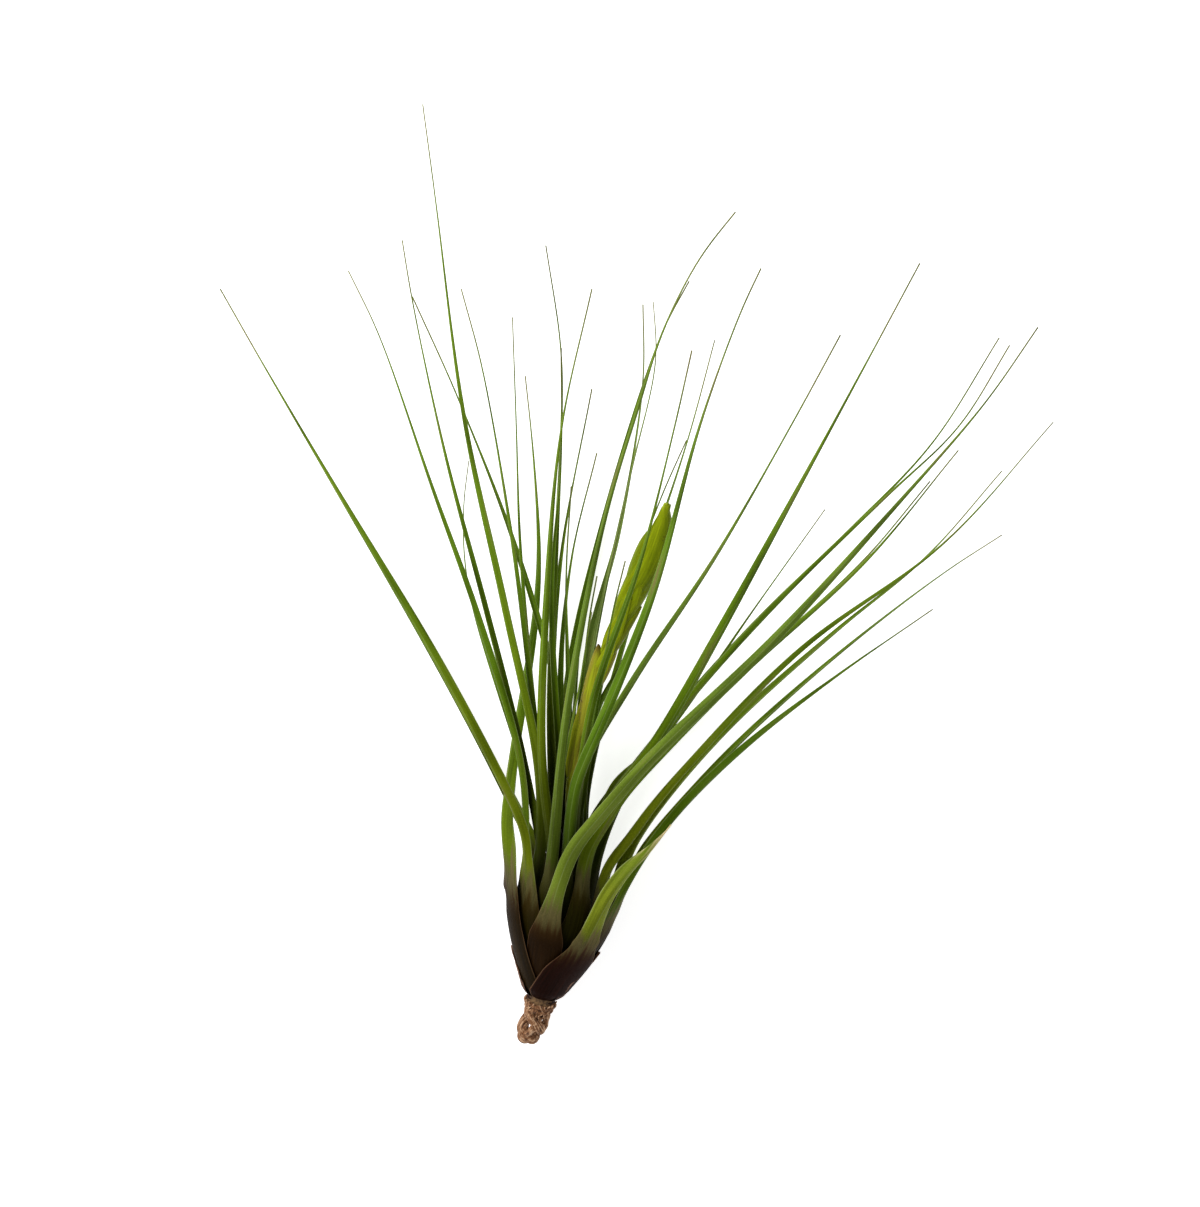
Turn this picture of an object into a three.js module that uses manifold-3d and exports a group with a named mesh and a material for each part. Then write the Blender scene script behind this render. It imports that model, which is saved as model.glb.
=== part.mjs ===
// A whole air plant as picked, lying on its back on a level surface. Long channelled leaves rise
// from clasping sheaths that overlap in an onion-shaped bulb, with one flower spike among them and
// a knot of wiry roots below. Millimetres and degrees, +Z up. The origin is in the flat spot that
// the bulb rests on, +Y runs along the plant towards its leaf tips, and +X is its right.

import * as THREE from "three";
import Module from "manifold-3d";
import { mergeVertices } from "three/addons/utils/BufferGeometryUtils.js";

// Driving dimensions of the stem and the bulb
const COLLAR = new THREE.Vector3(-7.9, -32.8, 12.4); // where the stem leaves the roots
const STEM_LEAN = 13.6; // of the stem in plan, from +Y towards +X
const STEM_TILT = 15; // of the stem above the surface
const STEM_FOOT = -3; // heights along the stem, from the collar
const STEM_TOP = 37;
const STEM_FOOT_RADIUS = 5;
const STEM_TOP_RADIUS = 2.3;
const BULB_FOOT_RADIUS = 8.5;
const BULB_SWELL = 15.8; // gain in radius from the collar to the widest height
const BULB_HEIGHT = 48; // widest height of the bulb, along the stem
const CROWN_SPREAD = 0.12; // gain in radius per millimetre above it

// Driving dimensions of the leaves
const SLOTS = 50; // places for leaves, the oldest and outermost first
const SLOT_TURN = -137.5; // turn round the stem from one leaf to the next
const FIRST_SLOT_ANGLE = 175.5; // 0 faces up, away from the surface, and 90 faces right
const SLOT_RISE = 0.74; // climb along the stem from one leaf to the next
const NECK_HEIGHT = 41; // top of the oldest sheath, along the stem
const NECK_RISE = 0.33; // extra height of the next sheath
const SHEATH_HALF_WIDTH = 11;
const CLASP_OUTER = 42; // an outer sheath clasps no more of the stem than this to each side
const CLASP_INNER = 25; // nor a young one than this
const INNER_SLOT = 20; // the first of the young leaves
const SHEATH_THICKNESS = 0.62;
const SHEATH_FOOT_STEP = 1.6; // the sheath leaves the stem within this height
const STEM_CLEARANCE = 0.35;
const BLADE_THICKNESS = 0.65;
const TIP_HALF_WIDTH = 0.3;
const TAPER = 0.75; // power of the narrowing towards the tip
const CHANNEL_DEPTH = 0.5; // depth of a blade's channel, as a share of its half width
const TURN_SHARE = 0.35; // share of a blade within which it turns on its length
const NECK_FLARE = 1.45; // widening of a blade at its neck
const NECK_FLARE_SHARE = 0.15; // share of a blade within which the widening fades
const NECK_CROWDING = 1.6; // above 1, the sections of a blade lie closer near its neck
const SHEATH_STEPS = 6;
const BLADE_STEPS = 9;
const COLUMNS = [-1, -0.5, 0, 0.5, 1]; // places across a leaf, as shares of its half width

// The paths of the leaves are given as they show from straight above, on the level SEEN_LEVEL
const EYE = new THREE.Vector3(15.2, 122.3, 925);
const SEEN_LEVEL = 25;

// For each leaf: its slot, the width of its blade, the height of its tip, the extra height at its
// middle, and the plan points that it passes on the way to its tip. Some leaves also turn on their
// length, by so many degrees, or have an angle round the stem, a height of neck or a power of
// narrowing of their own. The second is an old leaf that is short and whose point has withered
const LEAVES = [
  { slot: 0, width: 3.6, tip: 2, bow: 0, path: [[2, 81], [17, 156], [39, 227], [50, 248]] },
  { slot: 1, angle: 31, neck: 33, width: 6.5, taper: 0.45, tip: 58, bow: 4,
    path: [[19, 7], [27, 18], [34, 25], [43, 36]] },
  { slot: 2, angle: -68, width: 3.6, tip: 4, bow: -4, turn: 30,
    path: [[-22, 29], [-23, 38], [-19, 68], [-10, 116], [-8, 143], [-11, 182], [-14, 211]] },
  { slot: 3, width: 3.9, tip: 4, bow: 0,
    path: [[30, 28], [61, 67], [106, 112], [142, 140], [172, 174]] },
  { slot: 4, width: 4.1, tip: 75, bow: 42,
    path: [[3, 24], [8, 31], [14, 38], [36, 61], [83, 108], [133, 163], [165, 200], [186, 230]] },
  { slot: 5, width: 3.6, tip: 2, bow: 0, path: [[-19, 44], [-47, 98], [-85, 163], [-117, 217]] },
  { slot: 6, angle: 60, width: 4.1, tip: 44, bow: 12, turn: -25,
    path: [[25, 10], [34, 25], [48, 43], [73, 67], [109, 95], [145, 120]] },
  { slot: 7, angle: -47, neck: 50, width: 4.1, tip: 70, bow: 25, turn: 30,
    path: [[-15, 32], [-24, 53], [-47, 98], [-85, 163], [-117, 217], [-133, 245]] },
  { slot: 8, width: 3.6, tip: 2, bow: 0, path: [[9, 26], [22, 48], [72, 94], [117, 138], [144, 170]] },
  { slot: 9, width: 4.1, tip: 60, bow: 25,
    path: [[11, 26], [17, 35], [23, 45], [43, 65], [72, 94], [117, 138], [155, 182]] },
  { slot: 11, width: 3.9, tip: 45, bow: 6,
    path: [[33, 26], [44, 40], [69, 67], [109, 103], [149, 134], [172, 149]] },
  { slot: 12, angle: -22, width: 4.1, tip: 120, bow: 25,
    path: [[-3, 34], [2, 81], [17, 156], [31, 202], [39, 227], [54, 257], [68, 275]] },
  { slot: 13, width: 2.7, tip: 25, bow: 1, path: [[2, 69], [-16, 139], [-40, 202], [-58, 242]] },
  { slot: 14, width: 4.1, tip: 60, bow: 20,
    path: [[17, 15], [28, 30], [34, 42], [49, 60], [92, 106], [148, 147], [192, 193]] },
  { slot: 15, width: 3.3, tip: 60, bow: 8, turn: 35,
    path: [[-16, 57], [-32, 114], [-50, 166], [-71, 227], [-83, 252]] },
  { slot: 17, width: 3.9, tip: 110, bow: 30,
    path: [[4, 42], [6, 53], [11, 65], [18, 81], [37, 129], [56, 192], [72, 237], [78, 253]] },
  { slot: 20, width: 3.9, tip: 80, bow: 3,
    path: [[-8, 55], [-21, 120], [-37, 192], [-49, 280], [-54, 317]] },
  { slot: 21, width: 2.7, tip: 45, bow: -2, path: [[0, 85], [4, 139], [14, 181]] },
  { slot: 22, width: 3.9, tip: 90, bow: 20,
    path: [[15, 36], [37, 69], [61, 111], [98, 177], [140, 255]] },
  { slot: 25, width: 3.3, tip: 95, bow: 0, path: [[-8, 61], [-6, 124], [0, 190], [12, 245]] },
  { slot: 26, width: 3, tip: 35, bow: 0, path: [[-4, 85], [0, 141], [12, 206]] },
  { slot: 27, width: 3.3, tip: 45, bow: -6,
    path: [[22, 42], [44, 74], [78, 112], [117, 151], [147, 183], [171, 226]] },
  { slot: 28, width: 3.3, tip: 70, bow: -3, turn: 30,
    path: [[-14, 63], [-28, 120], [-44, 179], [-58, 243], [-62, 264]] },
  { slot: 29, width: 3.3, tip: 30, bow: 0,
    path: [[9, 46], [11, 104], [23, 151], [32, 209], [32, 239]] },
  { slot: 30, width: 3.3, tip: 120, bow: 15,
    path: [[10, 53], [27, 90], [60, 140], [91, 194], [109, 227]] },
  { slot: 31, width: 3.3, tip: 60, bow: 0, path: [[-5, 85], [-2, 151], [0, 190], [0, 221], [-6, 262]] },
  { slot: 32, width: 2.7, tip: 62, bow: 0, path: [[19, 50], [49, 84], [76, 118], [104, 158]] },
  { slot: 33, width: 2.7, tip: 80, bow: -5, path: [[-10, 81], [-19, 145], [-32, 213], [-39, 245]] },
  { slot: 34, width: 2.2, tip: 50, bow: -4, path: [[2, 131], [4, 168]] },
  { slot: 35, width: 3, tip: 70, bow: 14,
    path: [[17, 40], [48, 82], [85, 123], [128, 165], [155, 191], [175, 223]] },
  { slot: 36, width: 2.2, tip: 40, bow: -3, path: [[-35, 128], [-38, 159], [-36, 178]] },
  { slot: 37, width: 3, tip: 40, bow: 0, path: [[11, 46], [31, 124], [50, 188], [60, 225]] },
  { slot: 38, width: 2.7, tip: 130, bow: 4, path: [[14, 81], [31, 139], [44, 190], [51, 221]] },
  { slot: 39, width: 2.7, tip: 75, bow: 0, path: [[-4, 124], [0, 178], [0, 222]] },
  { slot: 40, width: 2.5, tip: 55, bow: -3, path: [[21, 108], [39, 161], [49, 186]] },
  { slot: 41, width: 2.7, tip: 60, bow: -5, path: [[-8, 68], [-17, 143], [-19, 190], [-19, 234]] },
  { slot: 43, width: 2.5, tip: 60, bow: -1, path: [[12, 50], [18, 81], [28, 100], [33, 112]] },
  { slot: 44, width: 2.2, tip: 60, bow: -5, path: [[4, 98], [7, 124], [13, 148]] },
  { slot: 45, width: 2.7, tip: 45, bow: 5, path: [[13, 104], [27, 172], [37, 217], [36, 240]] },
  { slot: 46, width: 2.2, tip: 95, bow: 0, path: [[9, 52], [15, 89], [20, 118], [25, 139]] },
  { slot: 47, width: 2.2, tip: 40, bow: -3, path: [[5, 60], [8, 89], [11, 116], [14, 133]] },
  { slot: 49, width: 2.2, tip: 65, bow: 1, path: [[-1, 46], [3, 70], [7, 89], [12, 119]] },
];

// Driving dimensions of the flower spike
const STALK_FOOT_RADIUS = 2.1;
const STALK_TOP_RADIUS = 1.6;
const BRACT_STEPS = 6;
const BRACT_THICKNESS = 0.7;
const BRACT_DEPTH = 0.75; // depth of a bract's fold, as a share of its half width
const BRACT_FLARE = 2.4;
const BRACT_SEAT = 0.7; // place of a bract's foot on the stalk, as a share of its radius
const STALK_BRACT_HALF_WIDTH = 2.8;
const STALK_BRACT_BULGE = 1;
const HEAD_BRACT_HALF_WIDTH = 3.9;
const HEAD_BRACT_FLARE = 3.4;
const HEAD_BRACT_BULGE = 2.2;
const HEAD_END_RADIUS = 1.5;
const HEAD_HALF_WIDTH = 3.4;
const HEAD_HALF_DEPTH = 2.6;
const STALK_BRACTS = [
  { at: 0.42, length: 34, side: -1 },
  { at: 0.6, length: 27, side: 1 },
  { at: 0.74, length: 24, side: -1 },
];
const HEAD_BRACTS = [
  { at: 0.0, length: 20, side: -1 },
  { at: 0.1, length: 20, side: 1 },
  { at: 0.26, length: 20, side: -1 },
  { at: 0.38, length: 19, side: 1 },
  { at: 0.52, length: 18, side: -1 },
  { at: 0.64, length: 16, side: 1 },
];

// Driving dimensions of the old sheaths' remnants and of the roots
const REMNANT_FOOT = -1; // height along the stem
const REMNANT_GAP = 0.35; // from the sheaths beneath it
const REMNANT_HALF_WIDTH = 8;
const REMNANT_TIP_HALF_WIDTH = 0.6;
const REMNANTS = [
  { angle: 88, top: 22, flare: 3 },
  { angle: -92, top: 21, flare: 0.2 },
];
const ROOT_TOP = -3.3; // heights along the stem
const ROOT_BASE = -8.3;
const ROOT_TOP_RADIUS = 6.2;
const ROOT_BASE_RADIUS = 4.4;

// Each wiry root, by the heights, distances and angles round the stem that it passes
const ROOTS = [
  { radius: 1.9, points: [[-5, 1, -90], [-6, 4, -60], [-8, 6, -20], [-12, 5, 30], [-14, 2, 90]] },
  { radius: 2.2, points: [[-6, 0, 0], [-9, 3, -110], [-14, 5, -60], [-18, 3, 10], [-15, 2, 120]] },
  { radius: 1.6, points: [[-5, 1, 180], [-9, 4, -150], [-14, 4, -120], [-19, 4, -80], [-20, 1, 0]] },
  { radius: 1.5, points: [[-5, 1, 90], [-6, 4, 60], [-11, 4, 70], [-16, 3, 40]] },
  { radius: 1.3, points: [[-5, 2, 0], [-9, 4, 20], [-13, 6, -10], [-17, 5, -40]] },
];

const { degToRad, lerp, clamp, smoothstep } = THREE.MathUtils;

// The stem's frame: along it, out of its upper face, and to its right
const ALONG = new THREE.Vector3(
  Math.cos(degToRad(STEM_TILT)) * Math.sin(degToRad(STEM_LEAN)),
  Math.cos(degToRad(STEM_TILT)) * Math.cos(degToRad(STEM_LEAN)),
  Math.sin(degToRad(STEM_TILT)),
);
const FRONT = new THREE.Vector3(0, 0, 1).addScaledVector(ALONG, -ALONG.z).normalize();
const RIGHT = new THREE.Vector3().crossVectors(ALONG, FRONT);

// A point by its height along the stem, its distance from the stem's axis and its angle round it
function placed(along, radius, angle) {
  return COLLAR.clone()
    .addScaledVector(ALONG, along)
    .addScaledVector(FRONT, radius * Math.cos(degToRad(angle)))
    .addScaledVector(RIGHT, radius * Math.sin(degToRad(angle)));
}

// A point at a given height that shows at plan x, y from the eye
function seen(x, y, height) {
  const share = (EYE.z - height) / (EYE.z - SEEN_LEVEL);
  return new THREE.Vector3(lerp(EYE.x, x, share), lerp(EYE.y, y, share), height);
}

const STALK_CURVE = new THREE.CatmullRomCurve3([
  placed(STEM_TOP + STEM_CLEARANCE, 0, 0),
  placed(STEM_TOP + 21, 0, 0),
  seen(3.5, 46, 33),
  seen(6, 66, 42),
  seen(9.5, 81, 49),
  seen(15, 97, 56.5),
  seen(21, 110, 63),
]);
const HEAD_CURVE = new THREE.CatmullRomCurve3([
  STALK_CURVE.getPoint(1).addScaledVector(STALK_CURVE.getTangent(1), STEM_CLEARANCE),
  seen(28, 128, 74),
  seen(35, 145, 84),
  seen(41, 161, 92),
]);

function stemRadius(along) {
  return lerp(STEM_FOOT_RADIUS, STEM_TOP_RADIUS, clamp(along / STEM_TOP, 0, 1));
}

function bulbRadius(along) {
  const share = clamp(along / BULB_HEIGHT, 0, 1);
  const swell = BULB_SWELL * Math.pow(Math.sin((share * Math.PI) / 2), 1.2);
  return BULB_FOOT_RADIUS + swell + CROWN_SPREAD * Math.max(0, along - BULB_HEIGHT);
}

// Sheaths share the room between stem and bulb evenly, among the leaves that start lower down
function layerRadius(slot, along) {
  const started = clamp(along / SLOT_RISE, 0, SLOTS - 1) + 1;
  return lerp(bulbRadius(along), stemRadius(along), slot / started);
}

// A closed skin over a row of rings, each a loop of points, with both ends capped by a ladder
function loft(rings) {
  const size = rings[0].length;
  const points = rings.flat();
  const faces = [];
  const quad = (a, b, c, d) => faces.push(a, b, c, a, c, d);
  for (let i = 0; i + 1 < rings.length; i++) {
    for (let k = 0; k < size; k++) {
      const next = (k + 1) % size;
      quad(i * size + k, i * size + next, (i + 1) * size + next, (i + 1) * size + k);
    }
  }
  const last = (rings.length - 1) * size;
  for (let k = 0; k < size / 2 - 1; k++) {
    quad(k, size - 1 - k, size - 2 - k, k + 1);
    quad(last + k, last + k + 1, last + size - 2 - k, last + size - 1 - k);
  }
  const geometry = new THREE.BufferGeometry().setFromPoints(points);
  geometry.setIndex(faces);
  return geometry;
}

// The loop of a leaf's section: its outer face one way and its inner face back
function leafRing(outer, inner) {
  return [...outer, ...inner.reverse()];
}

// Half width of a sheath at a share of its length, from its foot to its neck
function sheathHalfWidth(leaf, share) {
  const widest = lerp(SHEATH_HALF_WIDTH, leaf.width, leaf.slot / SLOTS);
  return lerp(widest, (leaf.width / 2) * NECK_FLARE, smoothstep(share, 0.55, 1));
}

// Profile of a sheath: heights and radii of its inner face, from the stem to the neck
function sheathProfile(slot, neck) {
  const foot = Math.max(slot, -1) * SLOT_RISE;
  const profile = [[foot, stemRadius(foot) + STEM_CLEARANCE]];
  for (let i = 1; i <= SHEATH_STEPS; i++) {
    const along = lerp(foot + SHEATH_FOOT_STEP, neck, (i - 1) / (SHEATH_STEPS - 1));
    profile.push([along, layerRadius(slot, along)]);
  }
  return profile;
}

// Unit normal of a profile at one of its points, in height and radius, facing away from the stem
function profileNormal(profile, i) {
  const before = profile[Math.max(i - 1, 0)];
  const after = profile[Math.min(i + 1, profile.length - 1)];
  return new THREE.Vector2(before[1] - after[1], after[0] - before[0]).normalize();
}

// Rings of a sheath that wraps the stem. What would dip below the surface is pressed flat on it
function sheathRings(profile, angle, halfWidthAt, clasp, thickness) {
  return profile.map(([along, radius], i) => {
    const normal = profileNormal(profile, i);
    const halfWidth = halfWidthAt(i / (profile.length - 1));
    const spread = Math.min(clasp, THREE.MathUtils.radToDeg(halfWidth / radius));
    const face = (depth) =>
      COLUMNS.map((column) => {
        const point = placed(along + normal.x * depth, radius + normal.y * depth, angle + column * spread);
        point.z = Math.max(point.z, thickness - depth);
        return point;
      });
    return leafRing(face(thickness), face(0));
  });
}

// Share of a blade's length at which one of its sections lies
function stationShare(i, steps) {
  return Math.pow((i + 1) / steps, NECK_CROWDING);
}

// Points and directions along a curve, after the share of its length to leave out
function stationsAlong(curve, start, steps) {
  return Array.from({ length: steps }, (unused, i) => {
    const share = lerp(start, 1, stationShare(i, steps));
    return { point: curve.getPointAt(share), tangent: curve.getTangentAt(share) };
  });
}

// Rings of a blade: a channel that narrows to a needle tip and stays clear of the surface
function bladeRings(leaf, stations, normalAtNeck) {
  const normal = normalAtNeck.clone();
  const taper = leaf.taper ?? TAPER;
  return stations.map(({ point, tangent }, i) => {
    const share = stationShare(i, stations.length);
    normal.addScaledVector(tangent, -normal.dot(tangent)).normalize();
    const turn = degToRad(leaf.turn ?? 0) * smoothstep(share, 0, TURN_SHARE);
    const back = normal.clone().applyAxisAngle(tangent, turn);
    const side = new THREE.Vector3().crossVectors(tangent, back);
    const flare = lerp(NECK_FLARE, 1, smoothstep(share, 0, NECK_FLARE_SHARE));
    const halfWidth = Math.max((leaf.width / 2) * flare * Math.pow(1 - share, taper), TIP_HALF_WIDTH);
    const face = (depth) =>
      COLUMNS.map((column) => {
        const slope = 2 * CHANNEL_DEPTH * column;
        const away = back.clone().addScaledVector(side, slope).normalize();
        return point
          .clone()
          .addScaledVector(side, halfWidth * column)
          .addScaledVector(back, -CHANNEL_DEPTH * halfWidth * column * column)
          .addScaledVector(away, depth);
      });
    const ring = leafRing(face(BLADE_THICKNESS), face(0));
    const lift = Math.max(0, -Math.min(...ring.map((corner) => corner.z)));
    ring.forEach((corner) => (corner.z += lift));
    return ring;
  });
}

// The path of a blade from its neck, with its heights along the plan length
function bladePath(leaf, neckPoint) {
  const plan = leaf.path.map(([x, y]) => new THREE.Vector2(x, y));
  const lengths = [];
  let total = 0;
  let last = new THREE.Vector2(neckPoint.x, neckPoint.y);
  for (const point of plan) {
    total += point.distanceTo(last);
    lengths.push(total);
    last = point;
  }
  return plan.map((point, i) => {
    const share = lengths[i] / total;
    const height = lerp(neckPoint.z, leaf.tip, share) + 4 * leaf.bow * share * (1 - share);
    return seen(point.x, point.y, height);
  });
}

function leafGeometry(leaf) {
  const angle = leaf.angle ?? FIRST_SLOT_ANGLE + SLOT_TURN * leaf.slot;
  const profile = sheathProfile(leaf.slot, leaf.neck ?? NECK_HEIGHT + NECK_RISE * leaf.slot);
  const [neckAlong, neckRadius] = profile[profile.length - 1];
  const neckPoint = placed(neckAlong, neckRadius, angle);
  const [belowAlong, belowRadius] = profile[profile.length - 2];
  const below = placed(belowAlong, belowRadius, angle);
  const normal = profileNormal(profile, profile.length - 1);
  const outward = placed(neckAlong + normal.x, neckRadius + normal.y, angle).sub(neckPoint);
  const curve = new THREE.CatmullRomCurve3([below, neckPoint, ...bladePath(leaf, neckPoint)]);
  const start = below.distanceTo(neckPoint) / curve.getLength();
  const stations = stationsAlong(curve, start, BLADE_STEPS);
  const clasp = lerp(CLASP_OUTER, CLASP_INNER, Math.min(leaf.slot / INNER_SLOT, 1));
  return loft([
    ...sheathRings(profile, angle, (share) => sheathHalfWidth(leaf, share), clasp, SHEATH_THICKNESS),
    ...bladeRings(leaf, stations, outward),
  ]);
}

// Rings of a round or oval rod along a curve, with its half widths to the side and to the front
function rodRings(curve, steps, sides, sideRadius, frontRadius) {
  return Array.from({ length: steps + 1 }, (unused, i) => {
    const share = i / steps;
    const point = curve.getPointAt(share);
    const tangent = curve.getTangentAt(share);
    const side = new THREE.Vector3().crossVectors(tangent, FRONT).normalize();
    const front = new THREE.Vector3().crossVectors(side, tangent);
    return Array.from({ length: sides }, (alsoUnused, k) => {
      const turn = (2 * Math.PI * k) / sides;
      return point
        .clone()
        .addScaledVector(side, sideRadius(share) * Math.cos(turn))
        .addScaledVector(front, -frontRadius(share) * Math.sin(turn));
    });
  });
}

// A bract: a keeled boat from its foot to its point, open towards the rod that it clasps
function bractGeometry(foot, point, keel, halfWidth, bulge) {
  const middle = foot.clone().lerp(point, 0.45).addScaledVector(keel, bulge);
  const curve = new THREE.CatmullRomCurve3([foot, middle, point]);
  const rings = [];
  for (let i = 0; i <= BRACT_STEPS; i++) {
    const share = i / BRACT_STEPS;
    const tangent = curve.getTangentAt(share);
    const normal = keel.clone().addScaledVector(tangent, -keel.dot(tangent)).normalize();
    const side = new THREE.Vector3().crossVectors(tangent, normal);
    const swell = Math.pow(Math.sin(Math.PI * lerp(0.2, 1, share)), 0.7);
    const half = Math.max(halfWidth * swell, TIP_HALF_WIDTH);
    const face = (depth) =>
      COLUMNS.map((column) =>
        curve
          .getPointAt(share)
          .addScaledVector(side, half * column)
          .addScaledVector(normal, depth - BRACT_DEPTH * half * column * column),
      );
    rings.push(leafRing(face(BRACT_THICKNESS / 2), face(-BRACT_THICKNESS / 2)));
  }
  return loft(rings);
}

const wasm = await Module();
wasm.setup();

// One closed body out of several that are sunk into each other, with any hollow between them filled
function fused(geometries) {
  const solids = geometries.map((geometry) => {
    const bare = geometry.clone();
    bare.deleteAttribute("normal");
    bare.deleteAttribute("uv");
    const merged = mergeVertices(bare);
    const vertProperties = merged.attributes.position.array;
    const triVerts = new Uint32Array(merged.index.array);
    return new wasm.Manifold(new wasm.Mesh({ numProp: 3, vertProperties, triVerts }));
  });
  const pieces = solids.reduce((joined, solid) => joined.add(solid)).decompose();
  const whole = pieces.sort((a, b) => b.volume() - a.volume())[0].getMesh();
  const geometry = new THREE.BufferGeometry();
  geometry.setAttribute("position", new THREE.BufferAttribute(whole.vertProperties, 3));
  geometry.setIndex(new THREE.BufferAttribute(whole.triVerts, 1));
  return geometry;
}

function stemGeometry() {
  const profile = [
    new THREE.Vector2(0, STEM_FOOT),
    new THREE.Vector2(STEM_FOOT_RADIUS, STEM_FOOT),
    new THREE.Vector2(STEM_FOOT_RADIUS, 0),
    new THREE.Vector2(STEM_TOP_RADIUS, STEM_TOP),
    new THREE.Vector2(0, STEM_TOP),
  ];
  const frame = new THREE.Matrix4().makeBasis(RIGHT, ALONG, FRONT).setPosition(COLLAR);
  return new THREE.LatheGeometry(profile, 12).applyMatrix4(frame);
}

// The flower stalk stands on the stem and bends to the right. Its bracts clasp it in turn
function stalkGeometry() {
  const radius = (share) => lerp(STALK_FOOT_RADIUS, STALK_TOP_RADIUS, share);
  const bracts = STALK_BRACTS.map(({ at, length, side }) => {
    const foot = STALK_CURVE.getPointAt(at);
    const tangent = STALK_CURVE.getTangentAt(at);
    const keel = RIGHT.clone().multiplyScalar(side).addScaledVector(FRONT, 0.5).normalize();
    keel.addScaledVector(tangent, -keel.dot(tangent)).normalize();
    const point = foot.clone().addScaledVector(tangent, length).addScaledVector(keel, BRACT_FLARE);
    foot.addScaledVector(keel, radius(at) * BRACT_SEAT);
    return bractGeometry(foot, point, keel, STALK_BRACT_HALF_WIDTH, STALK_BRACT_BULGE);
  });
  return fused([loft(rodRings(STALK_CURVE, 8, 8, radius, radius)), ...bracts]);
}

// The flower head: a flat spindle with bracts that overlap in two rows, left and right
function headGeometry() {
  const swell = (share) => Math.sin(Math.PI * Math.pow(share, 0.8));
  const side = (share) => lerp(HEAD_END_RADIUS, HEAD_HALF_WIDTH, swell(share));
  const front = (share) => lerp(HEAD_END_RADIUS, HEAD_HALF_DEPTH, swell(share));
  const bracts = HEAD_BRACTS.map(({ at, length, side: turn }) => {
    const foot = HEAD_CURVE.getPointAt(at);
    const tangent = HEAD_CURVE.getTangentAt(at);
    const keel = RIGHT.clone().multiplyScalar(turn);
    keel.addScaledVector(tangent, -keel.dot(tangent)).normalize();
    const point = foot.clone().addScaledVector(tangent, length).addScaledVector(keel, HEAD_BRACT_FLARE);
    foot.addScaledVector(keel, HEAD_END_RADIUS);
    return bractGeometry(foot, point, keel, HEAD_BRACT_HALF_WIDTH, HEAD_BRACT_BULGE);
  });
  return fused([loft(rodRings(HEAD_CURVE, 8, 8, side, front)), ...bracts]);
}

// A torn remnant of an old sheath, outside the others, that narrows to a frayed point
function remnantGeometry({ angle, top, flare }) {
  const profile = [[REMNANT_FOOT, stemRadius(0) + STEM_CLEARANCE]];
  for (let i = 0; i < SHEATH_STEPS; i++) {
    const share = i / (SHEATH_STEPS - 1);
    const along = lerp(REMNANT_FOOT + SHEATH_FOOT_STEP, top, share);
    const radius = bulbRadius(along) + SHEATH_THICKNESS + REMNANT_GAP;
    profile.push([along, radius + flare * Math.pow(share, 3)]);
  }
  const halfWidth = (share) => lerp(REMNANT_HALF_WIDTH, REMNANT_TIP_HALF_WIDTH, Math.pow(share, 1.5));
  return loft(sheathRings(profile, angle, halfWidth, CLASP_OUTER, SHEATH_THICKNESS));
}

// The roots: a short woody foot below the stem, with wiry roots that curl out of it
function rootsGeometry() {
  const foot = new THREE.CatmullRomCurve3([placed(ROOT_TOP, 0, 0), placed(ROOT_BASE, 0, 0)]);
  const footRadius = (share) => lerp(ROOT_TOP_RADIUS, ROOT_BASE_RADIUS, share);
  const footRings = rodRings(foot, 2, 10, footRadius, footRadius);
  const wires = ROOTS.map(({ radius, points }) => {
    const places = points.map(([along, reach, angle]) => placed(along, reach, angle));
    const curve = new THREE.CatmullRomCurve3(places);
    const shape = new THREE.Shape().absarc(0, 0, radius, 0, 2 * Math.PI);
    return new THREE.ExtrudeGeometry(shape, { extrudePath: curve, steps: 13, curveSegments: 5 });
  });
  return fused([loft(footRings), ...wires]);
}

const plant = new THREE.Group();

function add(name, geometry, color, roughness) {
  const mesh = new THREE.Mesh(geometry, new THREE.MeshStandardMaterial({ color, roughness }));
  mesh.name = name;
  plant.add(mesh);
}

LEAVES.forEach((leaf, i) => {
  add("leaf_" + String(i + 1).padStart(2, "0"), leafGeometry(leaf), 0x55712c, 0.55);
});
add("stem", stemGeometry(), 0x6b5436, 0.8);
add("flower_stalk", stalkGeometry(), 0x8a8a32, 0.5);
add("flower_head", headGeometry(), 0x93a02c, 0.45);
REMNANTS.forEach((remnant, i) => {
  add("dry_sheath_" + (i + 1), remnantGeometry(remnant), 0x7a5c4c, 0.8);
});
add("roots", rootsGeometry(), 0x8a6338, 0.85);

export default plant;
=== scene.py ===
# %% [markdown]
# # A whole air plant, made as surfaces
#
# This plant grows without soil. Some forty stiff, narrow leaves stand in a spiral round a short
# stem. Each leaf clasps the stem with a broad, dark sheath, and the sheaths overlap like the skins
# of an onion. One flower spike rises among the leaves, and a knot of wiry roots hangs below.
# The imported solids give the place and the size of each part. Here every part gets its true
# surface: the fold of a leaf, its thin margins, the scales on its skin and the colours that run
# from the nearly black foot to the grey needle tip.

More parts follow.
